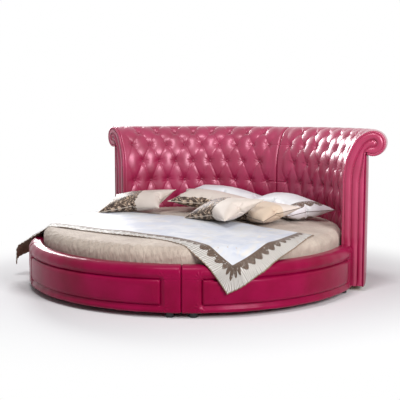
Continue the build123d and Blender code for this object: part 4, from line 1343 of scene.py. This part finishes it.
def printed_case(name, left, right, low, high, patch=None, panel=None):
    """Satin case with the rose print between shares of its flat width and depth."""
    material, tree, surface = new_finish(name, Roughness=0.5, Specular_IOR_Level=0.3, Sheen_Weight=0.2,
                                         Sheen_Roughness=0.35)
    uv = add(tree, "UVMap", uv_map="case").outputs["UV"]
    parts = add(tree, "SeparateXYZ", {0: uv})
    ripple = noise(tree, uv, 24.0, 2.0)
    sway = spread(tree, ripple, -0.03, 0.03)
    x = calc(tree, "ADD", parts.outputs["X"], sway)
    y = calc(tree, "ADD", parts.outputs["Y"], sway)
    inside = calc(tree, "MULTIPLY", between(tree, x, left, right), between(tree, y, low, high))
    if patch:
        sides = [between(tree, value, *limits) for value, limits in ((x, patch[:2]), (y, patch[2:]))]
        second = calc(tree, "MULTIPLY", sides[0], sides[1])
        inside = calc(tree, "MAXIMUM", inside, second)
    cloud = noise(tree, uv, 8.0, 2.0)
    ground = blend_colours(tree, cloud, paint(200, 186, 176), paint(218, 207, 199))
    if panel:
        sides = [between(tree, parts.outputs["X"], panel, 1), between(tree, parts.outputs["Y"], -1, 0.05)]
        cover = calc(tree, "MULTIPLY", sides[0], sides[1])
        ground = blend_colours(tree, cover, ground, paint(203, 183, 163))
    colour = blend_colours(tree, inside, ground, rose_colour(tree, uv))
    tree.links.new(colour, surface.inputs["Base Color"])
    folds = noise(tree, object_point(tree), 20.0, 3.0)
    tree.links.new(bump(tree, folds, 0.006, 0.22), surface.inputs["Normal"])
    return material


def bordered_case():
    """White satin case with a lace border along its right end."""
    material, tree, surface = new_finish("white_bordered_case", Roughness=0.45, Sheen_Weight=0.15)
    uv = add(tree, "UVMap", uv_map="case").outputs["UV"]
    parts = add(tree, "SeparateXYZ", {0: uv})
    hem = calc(tree, "SUBTRACT", large_pillow[0] / 2, parts.outputs["X"])
    cloud = noise(tree, uv, 7.0, 3.0)
    ground = blend_colours(tree, cloud, paint(214, 216, 224), paint(232, 231, 230))
    band = lace_mask(tree, parts.outputs["Y"], hem, 0.110, 0.060, 0.07)
    cells = add(tree, "TexVoronoi", {"Vector": uv, "Scale": 85.0}, feature="DISTANCE_TO_EDGE")
    thread = calc(tree, "LESS_THAN", cells.outputs["Distance"], 0.24)
    lace = calc(tree, "MULTIPLY", band, thread)
    ground = blend_colours(tree, lace, ground, paint(100, 80, 68))
    ground = blend_colours(tree, between(tree, hem, 0.109, 0.115), ground, paint(84, 66, 56))
    tree.links.new(ground, surface.inputs["Base Color"])
    folds = noise(tree, object_point(tree), 20.0, 3.0)
    tree.links.new(bump(tree, folds, 0.005, 0.2), surface.inputs["Normal"])
    return material


white_case = satin("white_case", paint(234, 234, 236), paint(218, 219, 226), rough=0.5)
tan_satin = satin("tan_satin", paint(190, 160, 132), paint(172, 142, 116))
brown_cord = satin("brown_cord", paint(104, 84, 70), paint(84, 66, 54))
cream_cord = satin("cream_cord", paint(214, 204, 192), paint(200, 188, 174))
front_left_case = printed_case("rose_case_front_left", -1.0, 0.050, -1.0, 0.135)
front_middle_case = printed_case("rose_case_front_middle", -1.0, 0.040, -1.0, 0.145)
rear_left_case = printed_case("rose_case_rear_left", -0.23, 1.0, -1.0, -0.110,
                              patch=(-0.20, -0.06, 0.04, 0.15))
rear_right_case = printed_case("rose_case_rear_right", -1.0, 0.03, -1.0, -0.03, panel=0.03)
pillow_looks = {
    "pillow_back_left": (white_case, white_case, cream_cord, "white_cotton"),
    "pillow_back_right": (bordered_case(), white_case, brown_cord, "white_satin"),
    "sham_rear_left": (rear_left_case, tan_satin, cream_cord, "cream_satin"),
    "sham_rear_right": (rear_right_case, tan_satin, brown_cord, "cream_satin"),
    "sham_front_left": (front_left_case, tan_satin, cream_cord, "cream_satin"),
    "sham_front_middle": (front_middle_case, tan_satin, cream_cord, "cream_satin"),
}
for name, looks in pillow_looks.items():
    count_faces(pillow(name, *looks))

# %% [markdown]
# What the covers hide is shown by the CAD's own meshes: plywood boards with their plies at the
# edges, a pine beam, birch slats, steel hangers and plastic feet. Their finishes read positions on
# the piece in metres, so the grain has its true size.

# %% Finishes of the hidden pieces
def wood_finish(name, light, dark, axis, plies=False):
    """Wood with grain along an axis; plies adds the thin layers of plywood."""
    material, tree, surface = new_finish(name, Roughness=0.62)
    point = object_point(tree)
    stretch = {"X": (1.2, 22, 22), "Y": (22, 1.2, 22), "Z": (22, 22, 1.2)}[axis]
    drawn = add(tree, "VectorMath", {0: point, 1: stretch}, operation="MULTIPLY").outputs["Vector"]
    grain = noise(tree, drawn, 3.0, 6.0, Distortion=0.8)
    share = ramp(tree, grain, 0.35, 0.7)
    colour = blend_colours(tree, share, light, dark)
    if plies:
        layers = add(tree, "TexWave", {"Vector": point, "Scale": 80.0, "Distortion": 0.4},
                     bands_direction="Z")
        faint = calc(tree, "MULTIPLY", layers.outputs["Fac"], 0.35)
        colour = blend_colours(tree, faint, colour, dark)
    tree.links.new(colour, surface.inputs["Base Color"])
    tree.links.new(bump(tree, grain, 0.001, 0.3), surface.inputs["Normal"])
    return material


def hard_finish(name, colour, shade, rough, metal=0.0, scale=60.0):
    """Plastic, painted or plated metal with fine wear."""
    material, tree, surface = new_finish(name, Roughness=rough, Metallic=metal)
    point = object_point(tree)
    wear = noise(tree, point, scale, 4.0)
    tree.links.new(blend_colours(tree, wear, shade, colour), surface.inputs["Base Color"])
    uneven = spread(tree, wear, rough - 0.08, rough + 0.12)
    tree.links.new(uneven, surface.inputs["Roughness"])
    tree.links.new(bump(tree, wear, 0.0004, 0.3), surface.inputs["Normal"])
    return material


plywood = wood_finish("plywood", paint(206, 176, 132), paint(168, 132, 90), "X", plies=True)
finishes = {
    "deck_beam": wood_finish("pine", paint(214, 180, 130), paint(176, 132, 84), "Y"),
    "deck_legs": wood_finish("pine_leg", paint(214, 180, 130), paint(176, 132, 84), "Z"),
    "deck_slats": wood_finish("birch_slat", paint(226, 204, 166), paint(196, 168, 126), "X"),
    "deck_leg_pads": hard_finish("black_rubber", paint(30, 30, 31), paint(22, 22, 23), 0.8),
    "deck_slat_holders": hard_finish("black_holder", paint(34, 34, 36), paint(26, 26, 28), 0.5),
    "deck_beam_hangers": hard_finish("steel_bracket", paint(70, 72, 76), paint(56, 58, 62), 0.45),
    "feet_screws": hard_finish("zinc_screw", paint(186, 188, 190), paint(160, 162, 166), 0.3, 1.0, 200.0),
    "feet": hard_finish("black_foot", paint(28, 28, 30), paint(20, 20, 22), 0.42),
    "seam_bolts": hard_finish("zinc_bolt", paint(186, 188, 190), paint(160, 162, 166), 0.3, 1.0, 200.0),
    "seam_nuts": hard_finish("zinc_nut", paint(186, 188, 190), paint(160, 162, 166), 0.3, 1.0, 200.0),
    "cover": shaded_leather,
    "rail_panel": shaded_leather,
    "_pad": lit_tufted_leather,
    "_end_facing": lit_tufted_leather,
    "_buttons": button_leather,
    "fitted_sheet": sheet_cloth,
    "throw": white_case,
    "pillow": white_case,
    "sham": white_case,
    "mattress_core": cloth_finish("foam_core", paint(236, 230, 206), paint(224, 216, 190)),
    "mattress_comfort_layer": cloth_finish("mattress_ticking", paint(232, 230, 224), paint(214, 210, 202)),
}
for node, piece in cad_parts.items():
    match = [key for key in finishes if key in node]
    material = finishes[max(match, key=len)] if match else plywood
    piece.data.materials.clear()
    piece.data.materials.append(material)
print(len(finishes) + 1, "finishes on the CAD's own meshes")

# %% [markdown]
# The stage is a pale floor that runs out to white, lit by large soft lamps. Glossy leather shows
# what it reflects, so the lamps are what draws the long highlights on the rolls and the bright
# spots between the buttons.

# %% Stage
def lamp(name, place, target, size, power, tall=None):
    """Large soft lamp that faces a target."""
    data = bpy.data.lights.new(name, "AREA")
    data.shape, data.size, data.size_y = "RECTANGLE", size, tall or size
    data.energy = power
    light = bpy.data.objects.new(name, data)
    bpy.context.scene.collection.objects.link(light)
    light.location = place
    light.rotation_euler = (Vector(target) - Vector(place)).to_track_quat("-Z", "Y").to_euler()
    return light


bm = bmesh.new()
bmesh.ops.create_circle(bm, cap_ends=True, segments=96, radius=14)
floor_mesh = mesh_of(bm, "floor")
floor = bpy.data.objects.new("floor", floor_mesh)
bpy.context.scene.collection.objects.link(floor)
floor_paint, tree, surface = new_finish("floor_paint", Roughness=0.9)
surface.inputs["Specular IOR Level"].default_value = 0.1
surface.inputs["Base Color"].default_value = paint(224, 224, 226)
distance = add(tree, "VectorMath", {0: object_point(tree)}, operation="LENGTH").outputs["Value"]
limits = {"Value": distance, "From Min": 1.25, "From Max": 2.2}
share = add(tree, "MapRange", limits, interpolation_type="SMOOTHSTEP")
bright = add(tree, "Emission", {"Color": (1, 1, 1, 1), "Strength": 1.0})
mixed = add(tree, "MixShader", {0: share.outputs[0], 1: surface.outputs[0], 2: bright.outputs[0]})
tree.links.new(mixed.outputs[0], tree.nodes["Material Output"].inputs["Surface"])
floor_mesh.materials.append(floor_paint)
lamp("right_box", (4.8, -1.8, 2.6), (0, 0, 0.5), 1.7, 215, tall=2.0)
lamp("top_box", (1.1, -2.2, 4.6), (0, 0, 0.4), 1.4, 95, tall=0.8)
lamp("left_box", (-4.4, 2.3, 2.5), (0.6, 0.6, 0.8), 1.7, 250, tall=2.0)

world = bpy.data.worlds.new("world")
bpy.context.scene.world = world
world.use_nodes = True
tree = world.node_tree
back = tree.nodes["Background"]
rays = add(tree, "LightPath")
seen = rays.outputs["Is Camera Ray"]
for ray in ("Is Glossy Ray", "Is Transmission Ray"):
    seen = add(tree, "Math", {0: seen, 1: rays.outputs[ray]}, operation="ADD", use_clamp=True).outputs[0]
strength = spread(tree, seen, 0.25, 1.0)
tree.links.new(strength, back.inputs["Strength"])
back.inputs["Color"].default_value = (1, 1, 1, 1)
